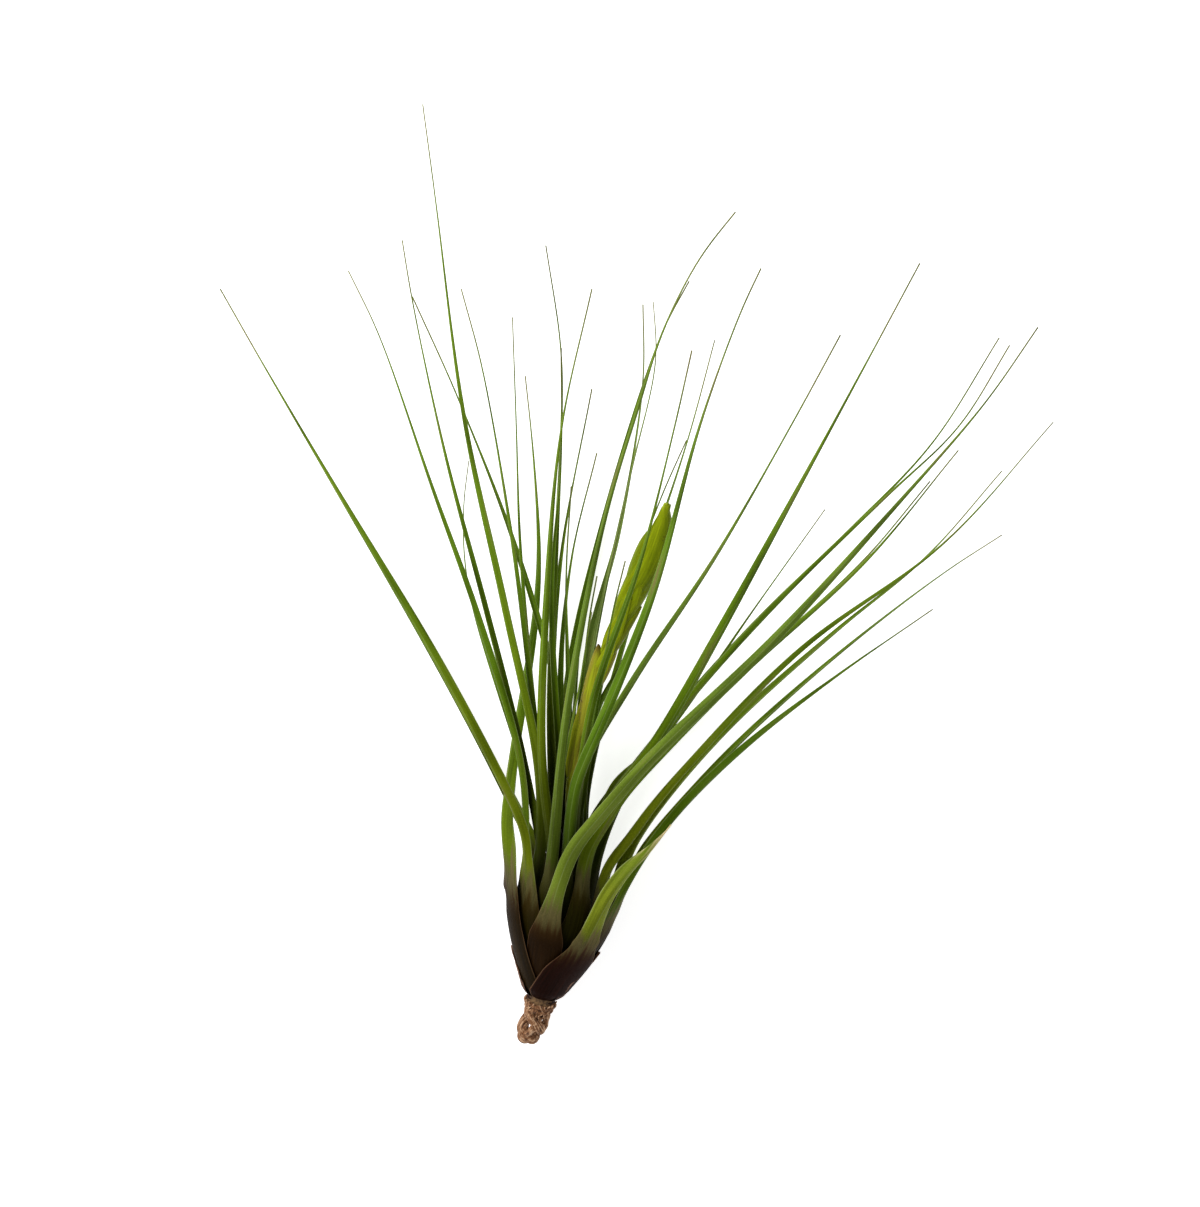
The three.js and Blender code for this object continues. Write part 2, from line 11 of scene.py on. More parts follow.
import bpy
import numpy as np
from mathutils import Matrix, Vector


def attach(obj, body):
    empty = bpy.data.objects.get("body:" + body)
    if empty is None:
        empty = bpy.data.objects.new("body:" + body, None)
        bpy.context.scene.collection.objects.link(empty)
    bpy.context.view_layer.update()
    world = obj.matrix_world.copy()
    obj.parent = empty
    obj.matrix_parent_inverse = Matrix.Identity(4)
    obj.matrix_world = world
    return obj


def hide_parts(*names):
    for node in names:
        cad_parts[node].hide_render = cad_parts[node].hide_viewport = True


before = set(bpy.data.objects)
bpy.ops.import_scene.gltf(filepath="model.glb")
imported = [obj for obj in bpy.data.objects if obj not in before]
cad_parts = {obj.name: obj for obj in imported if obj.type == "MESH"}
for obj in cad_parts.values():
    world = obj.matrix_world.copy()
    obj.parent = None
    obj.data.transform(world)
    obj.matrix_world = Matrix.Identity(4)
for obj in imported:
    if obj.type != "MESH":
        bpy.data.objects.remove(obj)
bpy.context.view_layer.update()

# %% [markdown]
# ## Units and small helpers
#
# The plant is measured in millimetres, as the solids are, and a mesh is scaled to metres when it
# is made. A few helpers do what every step needs: mix two values, ease from one to the other,
# bring an array of directions to unit length, and stack separate arrays into vectors. They work
# on whole arrays, because that is much faster than a loop over points and shorter to read.

# %% Helpers for numbers and directions
MM = 0.001


def mix(a, b, share):
    """a + (b - a) times share."""
    return a + (b - a) * share


def ease(x, start, end):
    """0 up to start, 1 from end on, and a smooth S between: 3t squared less 2t cubed."""
    t = np.clip((x - start) / (end - start), 0, 1)
    return t * t * (3 - 2 * t)


def unit(vectors):
    """Each vector divided by its own length."""
    return vectors / np.linalg.norm(vectors, axis=-1, keepdims=True)


def across_to(vectors, directions):
    """What is left of each vector once its part along the direction is taken away, at length 1."""
    along = (vectors * directions).sum(-1, keepdims=True)
    return unit(vectors - along * directions)


def stacked(*parts):
    """Arrays spread to one common shape, as the parts of vectors."""
    return np.stack(np.broadcast_arrays(*parts), -1)


print("ease from 0 to 1:", ease(np.linspace(0, 1, 5), 0, 1))

# %% [markdown]
# ## The stem's own frame
#
# A leaf's place on the plant is easiest to say from the stem: how high along it, how far out from
# its axis, and at which angle round it. The stem leans to the right in plan and rises gently from
# the surface. `placed` turns such stem coordinates into a point, and `seen` gives the point at a
# given height that covers a plan position for someone who looks down from the eye. The eye is
# where the camera will be.

# %% The frame of the stem
COLLAR = np.array([-7.9, -32.8, 12.4])  # where the stem leaves the roots
STEM_LEAN = np.radians(13.6)
STEM_TILT = np.radians(15)
EYE = np.array([15.2, 122.3, 925.0])
SEEN_LEVEL = 25  # height at which plan places are measured

ALONG = np.array([
    np.cos(STEM_TILT) * np.sin(STEM_LEAN),
    np.cos(STEM_TILT) * np.cos(STEM_LEAN),
    np.sin(STEM_TILT),
])
FRONT = across_to(np.array([0.0, 0.0, 1.0]), ALONG)
RIGHT = np.cross(ALONG, FRONT)


def placed(along, radius, angle):
    """collar + ALONG times height + FRONT times radius cos angle + RIGHT times radius sin angle."""
    along, radius, turn = np.broadcast_arrays(along, radius, np.radians(angle))
    return (
        COLLAR
        + along[..., None] * ALONG
        + (radius * np.cos(turn))[..., None] * FRONT
        + (radius * np.sin(turn))[..., None] * RIGHT
    )


def seen(x, y, height):
    """The eye's place mixed with (x, y) by how far below the eye the height lies."""
    share = (EYE[2] - height) / (EYE[2] - SEEN_LEVEL)
    return stacked(mix(EYE[0], x, share), mix(EYE[1], y, share), height)


def height_on_stem(points):
    """(point - collar) dot ALONG."""
    return (points - COLLAR) @ ALONG


print("stem direction:", ALONG.round(3), "upper face:", FRONT.round(3))

# %% [markdown]
# ## Smooth paths
#
# A blade, a stalk or a root follows a path through a few known points. A curve with handles could
# do it, but its handles would be guesses. A centripetal spline passes through every point without
# loops and needs nothing else. It is sampled finely, and then resampled by its own length, so that
# rings can be spread along it as wanted. A last light smoothing takes out what is left of corners.

# %% Splines through points


def spline(points, steps=40):
    """Centripetal spline: between two points the cubic with tangents from the distances' roots."""
    points = np.asarray(points, float)
    ends = np.vstack([2 * points[0] - points[1], points, 2 * points[-1] - points[-2]])
    gaps = np.linalg.norm(np.diff(ends, axis=0), axis=1) ** 0.5
    a, b, c, d = (ends[i : len(ends) - 3 + i] for i in range(4))
    g0, g1, g2 = (gaps[i : len(gaps) - 2 + i, None] for i in range(3))
    leave = ((b - a) / g0 - (c - a) / (g0 + g1) + (c - b) / g1) * g1
    reach = ((c - b) / g1 - (d - b) / (g1 + g2) + (d - c) / g2) * g1
    t = np.linspace(0, 1, steps, endpoint=False)[:, None, None]
    cubic = b + t * leave + t**2 * (3 * (c - b) - 2 * leave - reach)
    cubic = cubic + t**3 * (2 * (b - c) + leave + reach)
    return np.vstack([cubic.transpose(1, 0, 2).reshape(-1, 3), points[-1]])


def run_of(points):
    """The running length of a row of points, from 0."""
    return np.concatenate([[0], np.cumsum(np.linalg.norm(np.diff(points, axis=0), axis=1))])


def at_shares(points, shares):
    """Points at shares of the row's whole length, by straight mixing between neighbours."""
    run = run_of(points)
    return np.stack([np.interp(shares * run[-1], run, points[:, k]) for k in range(3)], -1)


def smoothed(points, times):
    """Each inner point moved to a quarter, half and quarter of itself and its neighbours."""
    points = points.copy()
    for _ in range(times):
        points[1:-1] = (points[:-2] + 2 * points[1:-1] + points[2:]) / 4
    return points


def tangents(points):
    """Unit differences between neighbours, one-sided at the ends."""
    return unit(np.gradient(points, axis=0))


print("through 3 points:", spline([[0, 0, 0], [10, 0, 0], [10, 10, 0]], 2).round(2).tolist())

# %% [markdown]
# ## From grids to meshes
#
# Every new piece is a grid: rows along it, and in each row a closed loop of points round it. Such
# grids have the same faces, so one function makes them all. Each end is closed by a ladder of
# faces between the two sides of its loop. What the finish needs, such as the place along a leaf,
# is stored on the points as attributes: a pattern that reads them follows each bend.

# %% Make a piece from closed grids


def grid_faces(rows, size):
    """Quads between neighbours of a closed loop and of the next row, and ladders at both ends."""
    i = np.arange(rows - 1)[:, None] * size
    k = np.arange(size)[None, :]
    after = (k + 1) % size
    walls = np.stack([i + k, i + after, i + size + after, i + size + k], -1).reshape(-1, 4)
    k = np.arange(1, size // 2 - 1)
    rungs = np.stack([k, size - k, size - k - 1, k + 1], -1)
    tips = np.array([[0, size - 1, 1], [size // 2 - 1, size // 2 + 1, size // 2]])
    last = (rows - 1) * size
    foot = rungs.tolist() + tips.tolist()
    top = (rungs[:, ::-1] + last).tolist() + (tips[:, ::-1] + last).tolist()
    return walls.tolist() + foot + top


def in_scene(name, data):
    """A new object with its data, in the scene's own collection."""
    made = bpy.data.objects.new(name, data)
    bpy.context.scene.collection.objects.link(made)
    return made


def enclosed(points, faces):
    """Volume in cubic millimetres: the sum of p0 dot (p1 cross p2) / 6 over fans of triangles."""
    fans = [(f[0], f[i], f[i + 1]) for f in faces for i in range(1, len(f) - 1)]
    a, b, c = points[np.array(fans).T]
    return float((a * np.cross(b, c)).sum() / 6)


def new_piece(name, grids, nodes, material):
    """A mesh of one or more grids of millimetre points, each a dict with points and attributes."""
    points = np.concatenate([grid["points"].reshape(-1, 3) for grid in grids])
    faces, start = [], 0
    for grid in grids:
        rows, size = grid["points"].shape[:2]
        own = grid_faces(rows, size)
        if enclosed(grid["points"].reshape(-1, 3), own) < 0:
            own = [face[::-1] for face in own]
        faces += [[start + corner for corner in face] for face in own]
        start += rows * size
    mesh = bpy.data.meshes.new(name)
    mesh.from_pydata((points * MM).tolist(), [], faces)
    for key in grids[0]:
        if key != "points":
            values = np.concatenate([grid[key].reshape(-1, 3) for grid in grids])
            made = mesh.attributes.new(key, "FLOAT_VECTOR", "POINT")
            made.data.foreach_set("vector", values.astype(np.float32).ravel())
    mesh.polygons.foreach_set("use_smooth", np.ones(len(mesh.polygons), bool))
    mesh.materials.append(material)
    mesh.update()
    piece = in_scene(name, mesh)
    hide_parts(*nodes)
    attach(piece, "root")
    return piece


print("a ring of 8 in 3 rows has", len(grid_faces(3, 8)), "faces")

# %% [markdown]
# ## The bulb that the sheaths build
#
# Fifty places for leaves climb the stem in a spiral, each turned by 137.5 degrees from the last,
# which is how a growing tip shares out its room. At every height the sheaths that have started
# lower down share the room between the stem and the bulb's outline evenly, the oldest outside.
# Because that is a formula, no two sheaths can cross, however wide they wrap.

# %% The bulb's outline and its layers
SLOTS = 50  # places for leaves, the oldest and outermost first
SLOT_RISE = 0.74  # climb along the stem from one leaf to the next
STEM_TOP = 37
STEM_FOOT_RADIUS = 5
STEM_TOP_RADIUS = 2.3
BULB_FOOT_RADIUS = 8.5
BULB_SWELL = 15.8  # gain in radius up to the widest height
BULB_HEIGHT = 48  # the widest height
CROWN_SPREAD = 0.12  # gain in radius per millimetre above it


def stem_radius(along):
    """Foot radius mixed with top radius by the height over that of the top."""
    return mix(STEM_FOOT_RADIUS, STEM_TOP_RADIUS, np.clip(along / STEM_TOP, 0, 1))


def bulb_radius(along):
    """Foot radius + swell times sin(quarter turn of the height) to the power 1.2 + the crown's."""
    swell = BULB_SWELL * np.sin(np.clip(along / BULB_HEIGHT, 0, 1) * np.pi / 2) ** 1.2
    return BULB_FOOT_RADIUS + swell + CROWN_SPREAD * np.maximum(0, along - BULB_HEIGHT)


def layer_radius(slot, along):
    """The bulb's radius mixed with the stem's by slot over the number of leaves that started."""
    started = np.clip(along / SLOT_RISE, 0, SLOTS - 1) + 1
    return mix(bulb_radius(along), stem_radius(along), slot / started)


print("bulb radius at 0, 20 and 48 mm:", bulb_radius(np.array([0, 20, 48])).round(1))

# %% [markdown]
# ## One leaf as a function of two parameters
#
# The first parameter runs from the leaf's foot to its tip, the second from margin to margin.
# In the sheath, the second parameter is an angle round the stem. In the blade it runs across a
# fold: a rounded V whose ridge faces away from the stem. The wall is thickest in the middle and
# thins towards the margins, as a real leaf does, so its rim catches a fine line of light.
# Between sheath and blade the fold opens slowly, and the rows there are smoothed together.
#
# A leaf is a set of values. It has its place in the spiral, the width of its blade, the height of
# its tip, how far it bows up on the way, and its path as it shows from above. The rest is usual,
# unless it is given:
#
# - turn: degrees that the blade turns on its length; angle: its side of the stem, 0 for the upper
# - neck: the height where the blade leaves the sheath; full: how wide the sheath is
# - shoulder and reach: where the sheath starts to narrow, and how far beyond the neck it ends
# - broad, flare, slim and blunt: the blade's width in all, by its neck, and towards its tip
# - ridge: how far the fold lies to one side
# - grey and yellow: the shares of bloom and of young olive; dry: that of the papery tip
# - dark: the height on the stem where the nearly black foot gives way to green
# - deep: how far painted shade darkens the green by the neck, the more so the further in a leaf
#   stands

# %% The values of a leaf
SLOT_TURN = -137.5  # turn round the stem from one leaf to the next
FIRST_SLOT_ANGLE = 175.5
NECK_HEIGHT = 41  # of the oldest leaf
NECK_RISE = 0.33  # from one leaf to the next
# From this place on, a leaf's neck gets the full painted shade.
NECK_SHADE_SLOTS = 14  # the first place whose leaf is darkest by its neck
DARK_RISE = 2  # usual height of the dark foot above the neck
USUAL = {
    "full": 1.0, "shoulder": 0.35, "reach": 14, "broad": 1.05, "flare": 1.4, "slim": 0.22,
    "blunt": 0.0, "ridge": 0.0, "grey": 0.12, "yellow": 0.3, "dry": 0.0,
}


def leaf(number, slot, width, tip, bow, path, turn=0, angle=None, neck=None, **own):
    """The values of one leaf, with the usual ones where none are given."""
    values = dict(number=number, slot=slot, width=width, tip=tip, bow=bow, path=path, turn=turn)
    values["angle"] = FIRST_SLOT_ANGLE + SLOT_TURN * slot if angle is None else angle
    values["neck"] = NECK_HEIGHT + NECK_RISE * slot if neck is None else neck
    values["dark"] = values["neck"] + DARK_RISE
    # The painted shade by the neck grows with the place in the spiral.
    values["deep"] = min(slot / NECK_SHADE_SLOTS, 1)
    return {**values, **USUAL, **own}


EXAMPLE = leaf(0, 0, 4, 90, 20, path=[[20, 90], [60, 200]])
print("the oldest leaf's neck is at", EXAMPLE["neck"], "mm, at", EXAMPLE["angle"], "degrees")

# %% The ring of points in each row


def closed_ring(columns):
    """Places -1 to 1 over the outer face and back inside, closer together at the margins."""
    across = np.sin(np.linspace(-1, 1, columns) * np.pi / 2)
    outside = np.concatenate([np.ones(columns), np.zeros(columns - 2)])
    return np.concatenate([across, across[-2:0:-1]]), outside


COLUMNS = 13
RING, OUTSIDE = closed_ring(COLUMNS)
WALL = (1 - 0.75 * np.abs(RING) ** 4) * OUTSIDE  # share of the thickness at each place
print("one row of a leaf:", RING.round(2))

# %% Where a leaf narrows
SHEATH_HALF_WIDTH = 11


def widest(leaf):
    """The sheath's half width: the oldest's times its fullness, mixed with the blade's width."""
    return mix(SHEATH_HALF_WIDTH * leaf["full"], leaf["width"], leaf["slot"] / SLOTS)


def narrowing(leaf, along):
    """0 up to the shoulder, 1 from the leaf's reach above the neck on, and a smooth S between."""
    shoulder = mix(leaf["slot"] * SLOT_RISE, leaf["neck"], leaf["shoulder"])
    return ease(along, shoulder, leaf["neck"] + leaf["reach"])


print("narrowing at 20, 40 and 60 mm:", narrowing(EXAMPLE, np.array([20, 40, 60])).round(2))

# %% The sheath's rows
SHEATH_ROWS = 34
SHEATH_CROWDING = 1.5  # above 1, the rows lie closer near the foot
SHEATH_WALL = 0.45
STEM_CLEARANCE = 0.35
FOOT_HEIGHT = 5  # in which a sheath opens from the stem to its layer
CLASP_OUTER = 66  # degrees to each side; the sheaths wrap further here than as plain solids
CLASP_INNER = 40
INNER_SLOT = 20  # the first of the young leaves


def opened_from_foot(height):
    """A quarter of an ellipse: the root of t (2 - t), with t the height over that of the foot."""
    t = np.clip(height / FOOT_HEIGHT, 0, 1)
    return np.sqrt(t * (2 - t))


def sheath_rows(leaf):
    """placed(height, layer radius + wall, angle + across times half width / radius)."""
    slot, foot = leaf["slot"], leaf["slot"] * SLOT_RISE
    along = mix(foot, leaf["neck"], np.linspace(0, 1, SHEATH_ROWS) ** SHEATH_CROWDING)
    opened = opened_from_foot(along - foot)
    radius = mix(stem_radius(foot) + STEM_CLEARANCE, layer_radius(slot, along), opened)
    wide = mix(widest(leaf), leaf["width"] / 2, narrowing(leaf, along))
    clasp = mix(CLASP_OUTER, CLASP_INNER, min(slot / INNER_SLOT, 1))
    spread = np.minimum(clasp, np.degrees(wide / radius))
    wall = SHEATH_WALL * WALL[None, :] * ease(along - foot, -1, 4)[:, None]
    turns = leaf["angle"] + spread[:, None] * RING[None, :]
    points = placed(along[:, None], radius[:, None] + wall, turns)
    points[..., 2] = np.maximum(points[..., 2], SHEATH_WALL * (1 - OUTSIDE))
    return points, wide


print("an outer sheath's widest half:", sheath_rows(EXAMPLE)[1].max().round(1))

# %% Directions that follow a path


def carried(normal, directions):
    """A normal carried along a path: at each step only its part along the path is taken away."""
    normals = []
    for direction in directions:
        normal = across_to(normal, direction)
        normals.append(normal)
    return np.array(normals)


def turned(vectors, axes, angle):
    """Vectors turned about unit axes: v cos + (axis x v) sin, for v at right angles to its axis."""
    return vectors * np.cos(angle)[:, None] + np.cross(axes, vectors) * np.sin(angle)[:, None]


print("a side carried round a corner:", carried(np.array([0, 1, 0]), np.eye(3)[[0, 2]]).tolist())

# %% The blade's centre line
BLADE_ROWS = 96
BLADE_CROWDING = 1.15  # above 1, the rows lie closer near the neck
NECK_LEAD = 8  # the line starts this far below the neck, so it leaves the sheath in its direction
LINE_STEPS = 240
LINE_SMOOTHING = 40


def blade_line(leaf):
    """Plan points at heights mixed from neck to tip, with a bow: 4 times bow times s (1 - s)."""
    slot, neck, angle = leaf["slot"], leaf["neck"], leaf["angle"]
    start = placed(neck, layer_radius(slot, neck), angle)
    below = placed(neck - NECK_LEAD, layer_radius(slot, neck - NECK_LEAD), angle)
    plan = np.array([start[:2]] + leaf["path"])
    share = (run_of(plan) / run_of(plan)[-1])[1:]
    height = mix(start[2], leaf["tip"], share) + 4 * leaf["bow"] * share * (1 - share)
    points = spline(np.vstack([below, start, seen(plan[1:, 0], plan[1:, 1], height)]))
    line = smoothed(at_shares(points, np.linspace(0, 1, LINE_STEPS)), LINE_SMOOTHING)
    neck_share = np.linalg.norm(start - below) / run_of(line)[-1]
    rows = (np.arange(1, BLADE_ROWS + 1) / BLADE_ROWS) ** BLADE_CROWDING
    return at_shares(line, mix(neck_share, 1, rows))


print("a blade's length in mm:", run_of(blade_line(EXAMPLE))[-1].round())

# %% The blade's width
FLARE_SHARE = 0.3  # of the blade, in which the widening at the neck fades
SLIM_SPAN = 0.56  # of the blade, in which the even width turns into a straight taper
THINNEST_HALF = 0.27


def blade_half_width(leaf, run, share):
    """Half width times flare times taper, mixed with the sheath's; it closes at the very tip."""
    left = 1 - share
    even = ease(left, leaf["slim"], leaf["slim"] + SLIM_SPAN)
    taper = mix(mix(left, 1, even), 1, leaf["blunt"]) * ease(left, -0.003, 0.008)
    flare = mix(leaf["flare"], 1, ease(share, 0, FLARE_SHARE))
    half = np.maximum(leaf["width"] / 2 * leaf["broad"] * flare * taper, THINNEST_HALF)
    return mix(widest(leaf), half, narrowing(leaf, leaf["neck"] + run))


quarters = np.linspace(0, 1, 5)
print("half widths up to 200 mm:", blade_half_width(EXAMPLE, 200 * quarters, quarters).round(2))

# %% The blade's rows
BLADE_WALL = 0.5
TIP_WALL = 0.35  # of it, at the tip
TURN_SHARE = 0.35  # of the blade, in which it turns on its length
FOLD_OPENS = 26  # millimetres beyond the neck in which the fold opens
FOLD_DEPTH = 0.75  # of the blade's channel, as a share of its half width
LEAST_DEPTH = 0.06
ROUNDING = 0.03  # of the fold's ridge


def blade_rows(leaf):
    """line + side times half width times across - back times fold + face times wall."""
    line = blade_line(leaf)
    ahead, run = tangents(line), run_of(line)
    share = run / run[-1]
    outward = placed(0, 1, leaf["angle"]) - placed(0, 0, leaf["angle"])
    back = carried(outward, ahead)
    back = turned(back, ahead, np.radians(leaf["turn"]) * ease(share, 0, TURN_SHARE))
    side = np.cross(ahead, back)
    half = blade_half_width(leaf, run, share)
    opened = ease(run, 0, FOLD_OPENS)
    lean = RING[None, :] - (leaf["ridge"] * opened)[:, None]
    slope = np.sqrt(lean**2 + ROUNDING)
    fold = slope - ROUNDING**0.5
    depth = FOLD_DEPTH * opened + LEAST_DEPTH
    wall = BLADE_WALL * WALL[None, :] * mix(1, TIP_WALL, share**2)[:, None]
    tilt = (depth[:, None] * lean / slope)[..., None]
    face = unit(back[:, None] + tilt * side[:, None])
    points = (
        line[:, None]
        + side[:, None] * (half[:, None] * RING)[..., None]
        - back[:, None] * ((depth * half)[:, None] * fold)[..., None]
        + face * wall[..., None]
    )
    points[..., 2] += np.maximum(0, -points[..., 2].min(1))[:, None]
    return points, half


print("a blade's grid:", blade_rows(EXAMPLE)[0].shape)

# %% A whole leaf with the values its finish reads
NECK_SOFTENED = 5  # rows on each side of the neck
NECK_ROUNDS = 6
DARK_FADE = 20  # the dark foot fades out this far below and above its height
SEED_STEP = 37.0  # so that no two leaves have the same pattern


def leaf_grid(leaf):
    """Sheath rows, then blade rows; near the neck each row is softened with its neighbours."""
    sheath, sheath_half = sheath_rows(leaf)
    blade, blade_half = blade_rows(leaf)
    points = np.concatenate([sheath, blade])
    neck = len(sheath)
    first, after_last = neck - NECK_SOFTENED, neck + NECK_SOFTENED + 1
    near_neck = slice(first - 1, after_last + 1)
    points[near_neck] = smoothed(points[near_neck], NECK_ROUNDS)
    run = run_of(points[:, COLUMNS // 2])
    beyond = (run - run[neck])[:, None]
    share = np.clip(beyond / beyond[-1], 0, 1)
    half = np.concatenate([sheath_half, blade_half])[:, None]
    dark = 1 - ease(height_on_stem(points), leaf["dark"] - DARK_FADE, leaf["dark"] + DARK_FADE)
    return {
        "points": points,
        "place": stacked(half * RING, run[:, None], SEED_STEP * leaf["number"]),
        "where": stacked(RING, share, dark),
        "look": stacked(leaf["grey"], leaf["yellow"], leaf["dry"] + 0 * dark),
        # form: the place across the fold, the share of painted shade by the neck, and the run
        # beyond it
        "form": stacked(RING - leaf["ridge"] * share, leaf["deep"], beyond),
    }


print("points in one leaf:", (SHEATH_ROWS + BLADE_ROWS) * len(RING))

# %% [markdown]
# ## Finishes: nodes by hand
#
# A finish could be put together with the mouse, but a script can be read and changed. A few small
# helpers make it short. `node` adds one node and fills its sockets: a number or colour is set, and
# another node's output is linked. `paint` turns a colour as seen on a screen into the linear
# values that light is worked out with. `lit` makes a colour lighter or darker by a value.

# %% Colours as seen on a screen


def paint(red, green, blue):
    """Screen values 0 to 255 to linear: ((v + 0.055) / 1.055) to the power 2.4, or v / 12.92."""
    v = np.array([red, green, blue]) / 255
    return (*np.where(v > 0.04045, ((v + 0.055) / 1.055) ** 2.4, v / 12.92).tolist(), 1.0)


print("fresh green in linear values:", np.round(paint(92, 128, 24), 3))

# %% Helpers that add and fill nodes


def fill(made, sockets):
    """Sets or links the sockets of a node, by name or by number."""
    for key, value in dict(sockets).items():
        if isinstance(value, bpy.types.NodeSocket):
            made.id_data.links.new(value, made.inputs[key])
        else:
            made.inputs[key].default_value = value


def node(tree, kind, sockets=(), **settings):
    """A new node with its settings, and its sockets set or linked."""
    made = tree.nodes.new("ShaderNode" + kind)
    for key, value in settings.items():
        setattr(made, key, value)
    fill(made, sockets)
    return made


def sums(tree, operation, a, b=0.0, c=0.0, clamp=False):
    """A maths node on up to three values."""
    return node(tree, "Math", {0: a, 1: b, 2: c}, operation=operation, use_clamp=clamp).outputs[0]


def plus(tree, value, factor, base):
    """value times factor + base."""
    return sums(tree, "MULTIPLY_ADD", value, factor, base)


def times(tree, a, b):
    """a times b."""
    return sums(tree, "MULTIPLY", a, b)


def between(tree, value, low, high, start=0.0, end=1.0):
    """A smooth step of a value from start to end while it goes from low to high."""
    sockets = {"Value": value, "From Min": low, "From Max": high, "To Min": start, "To Max": end}
    return node(tree, "MapRange", sockets, interpolation_type="SMOOTHSTEP").outputs[0]


def blended(tree, share, one, other, how="MIX"):
    """Two colours mixed by a share."""
    made = node(tree, "Mix", {0: share, 6: one, 7: other}, data_type="RGBA", blend_type=how)
    return made.outputs[2]


def lit(tree, colour, light):
    """A colour times a value."""
    grey = node(tree, "CombineColor", {0: light, 1: light, 2: light}).outputs[0]
    return blended(tree, 1.0, colour, grey, "MULTIPLY")


def parts_of(tree, name):
    """The three values of a point attribute."""
    vector = node(tree, "Attribute", attribute_name=name).outputs["Vector"]
    return node(tree, "SeparateXYZ", {0: vector}).outputs


trial_group = bpy.data.node_groups.new("Trial", "ShaderNodeTree")
print("a smooth step is a node of the kind", between(trial_group, 0.5, 0, 1).node.bl_idname)
bpy.data.node_groups.remove(trial_group)

# %% Helpers for groups and materials


def new_group(name, inputs, outputs):
    """An empty node group with named value or vector inputs and value outputs."""
    group = bpy.data.node_groups.new(name, "ShaderNodeTree")
    for key, default in inputs.items():
        kind = "NodeSocketVector" if default is None else "NodeSocketFloat"
        socket = group.interface.new_socket(key, in_out="INPUT", socket_type=kind)
        if default is not None:
            socket.default_value = default
    for key in outputs:
        group.interface.new_socket(key, in_out="OUTPUT", socket_type="NodeSocketFloat")
    return group, group.nodes.new("NodeGroupInput"), group.nodes.new("NodeGroupOutput")


def from_group(tree, group, sockets):
    """A node that stands for a group, with its inputs set or linked."""
    made = node(tree, "Group", node_tree=group)
    fill(made, sockets)
    return made.outputs


def new_material(name, **constants):
    """A material with its Principled shader, and the constants set on the shader's own sockets."""
    material = bpy.data.materials.new(name)
    material.use_nodes = True
    tree = material.node_tree
    shader = tree.nodes["Principled BSDF"]
    for key, value in constants.items():
        shader.inputs[key.replace("_", " ")].default_value = value
    return material, tree, shader


def place_in(tree):
    """The place on the surface in millimetres, across and along, and the piece's seed."""
    return node(tree, "Attribute", attribute_name="place").outputs["Vector"]


def finished(tree, shader, colour, roughness, height, strength, distance=0.0004):
    """Links colour and roughness, and the height through a bump, to the shader."""
    bump = node(tree, "Bump", {"Height": height, "Strength": strength, "Distance": distance})
    fill(shader, {"Base Color": colour, "Roughness": roughness, "Normal": bump.outputs[0]})


print("what a finish can set:", len(new_material("Trial")[2].inputs), "sockets of the shader")
bpy.data.materials.remove(bpy.data.materials["Trial"])

# %% [markdown]
# ## The skin of the leaves: rows of scales, veins and mottling
#
# The leaves drink through tiny cup-shaped scales that stand in rows along them. From arm's length
# they give the green its grey bloom, and close up they show as pale dots. Under the skin, veins
# run lengthwise and give fine light and dark lines. Leaves and bracts need both effects, sheaths
# and roots one, so each is a group that is built once. They read the place on the surface in
# millimetres from the attribute.

# %% Group: rows of scales


def scale_rows():
    """Dots: 1 - smooth step of the distance to the nearest cell centre, cells stretched along."""
    usual = {"Place": None, "Across": 0.45, "Along": 0.75, "Dot": 0.33}
    group, inside, outside = new_group("Rows of scales", usual, ["Dots"])
    x, y, z = node(group, "SeparateXYZ", {0: inside.outputs["Place"]}).outputs
    x = sums(group, "DIVIDE", x, inside.outputs["Across"])
    y = sums(group, "DIVIDE", y, inside.outputs["Along"])
    vector = node(group, "CombineXYZ", {0: x, 1: y, 2: z}).outputs[0]
    cells = node(group, "TexVoronoi", {"Vector": vector, "Scale": 1.0, "Randomness": 0.55})
    near = sums(group, "SUBTRACT", cells.outputs["Distance"], inside.outputs["Dot"])
    fill(outside, {"Dots": between(group, near, -0.12, 0.12, 1.0, 0.0)})
    return group


SCALES = scale_rows()
print("scales:", len(SCALES.nodes), "nodes")

# %% Group: veins and streaks along the surface


def long_streaks():
    """Two noises stretched along the surface, narrow veins and broad bands, each around 0."""
    usual = {"Place": None, "Fine": 1.6, "Broad": 0.5, "Stretch": 0.03}
    group, inside, outside = new_group("Streaks along", usual, ["Fine", "Broad"])
    x, y, z = node(group, "SeparateXYZ", {0: inside.outputs["Place"]}).outputs
    y = times(group, y, inside.outputs["Stretch"])
    for key, detail in (("Fine", 2.0), ("Broad", 1.0)):
        u = times(group, x, inside.outputs[key])
        vector = node(group, "CombineXYZ", {0: u, 1: y, 2: z}).outputs[0]
        noise = node(group, "TexNoise", {"Vector": vector, "Scale": 1.0, "Detail": detail})
        fill(outside, {key: sums(group, "SUBTRACT", noise.outputs[0], 0.5)})
    return group


def streaks_on(tree, place, fine=1.6, broad=0.5, stretch=0.03):
    """Veins and bands by their number to the millimetre, and by how little they change along."""
    sockets = {"Place": place, "Fine": fine, "Broad": broad, "Stretch": stretch}
    return from_group(tree, STREAKS, sockets)


STREAKS = long_streaks()
print("groups:", [group.name for group in bpy.data.node_groups])
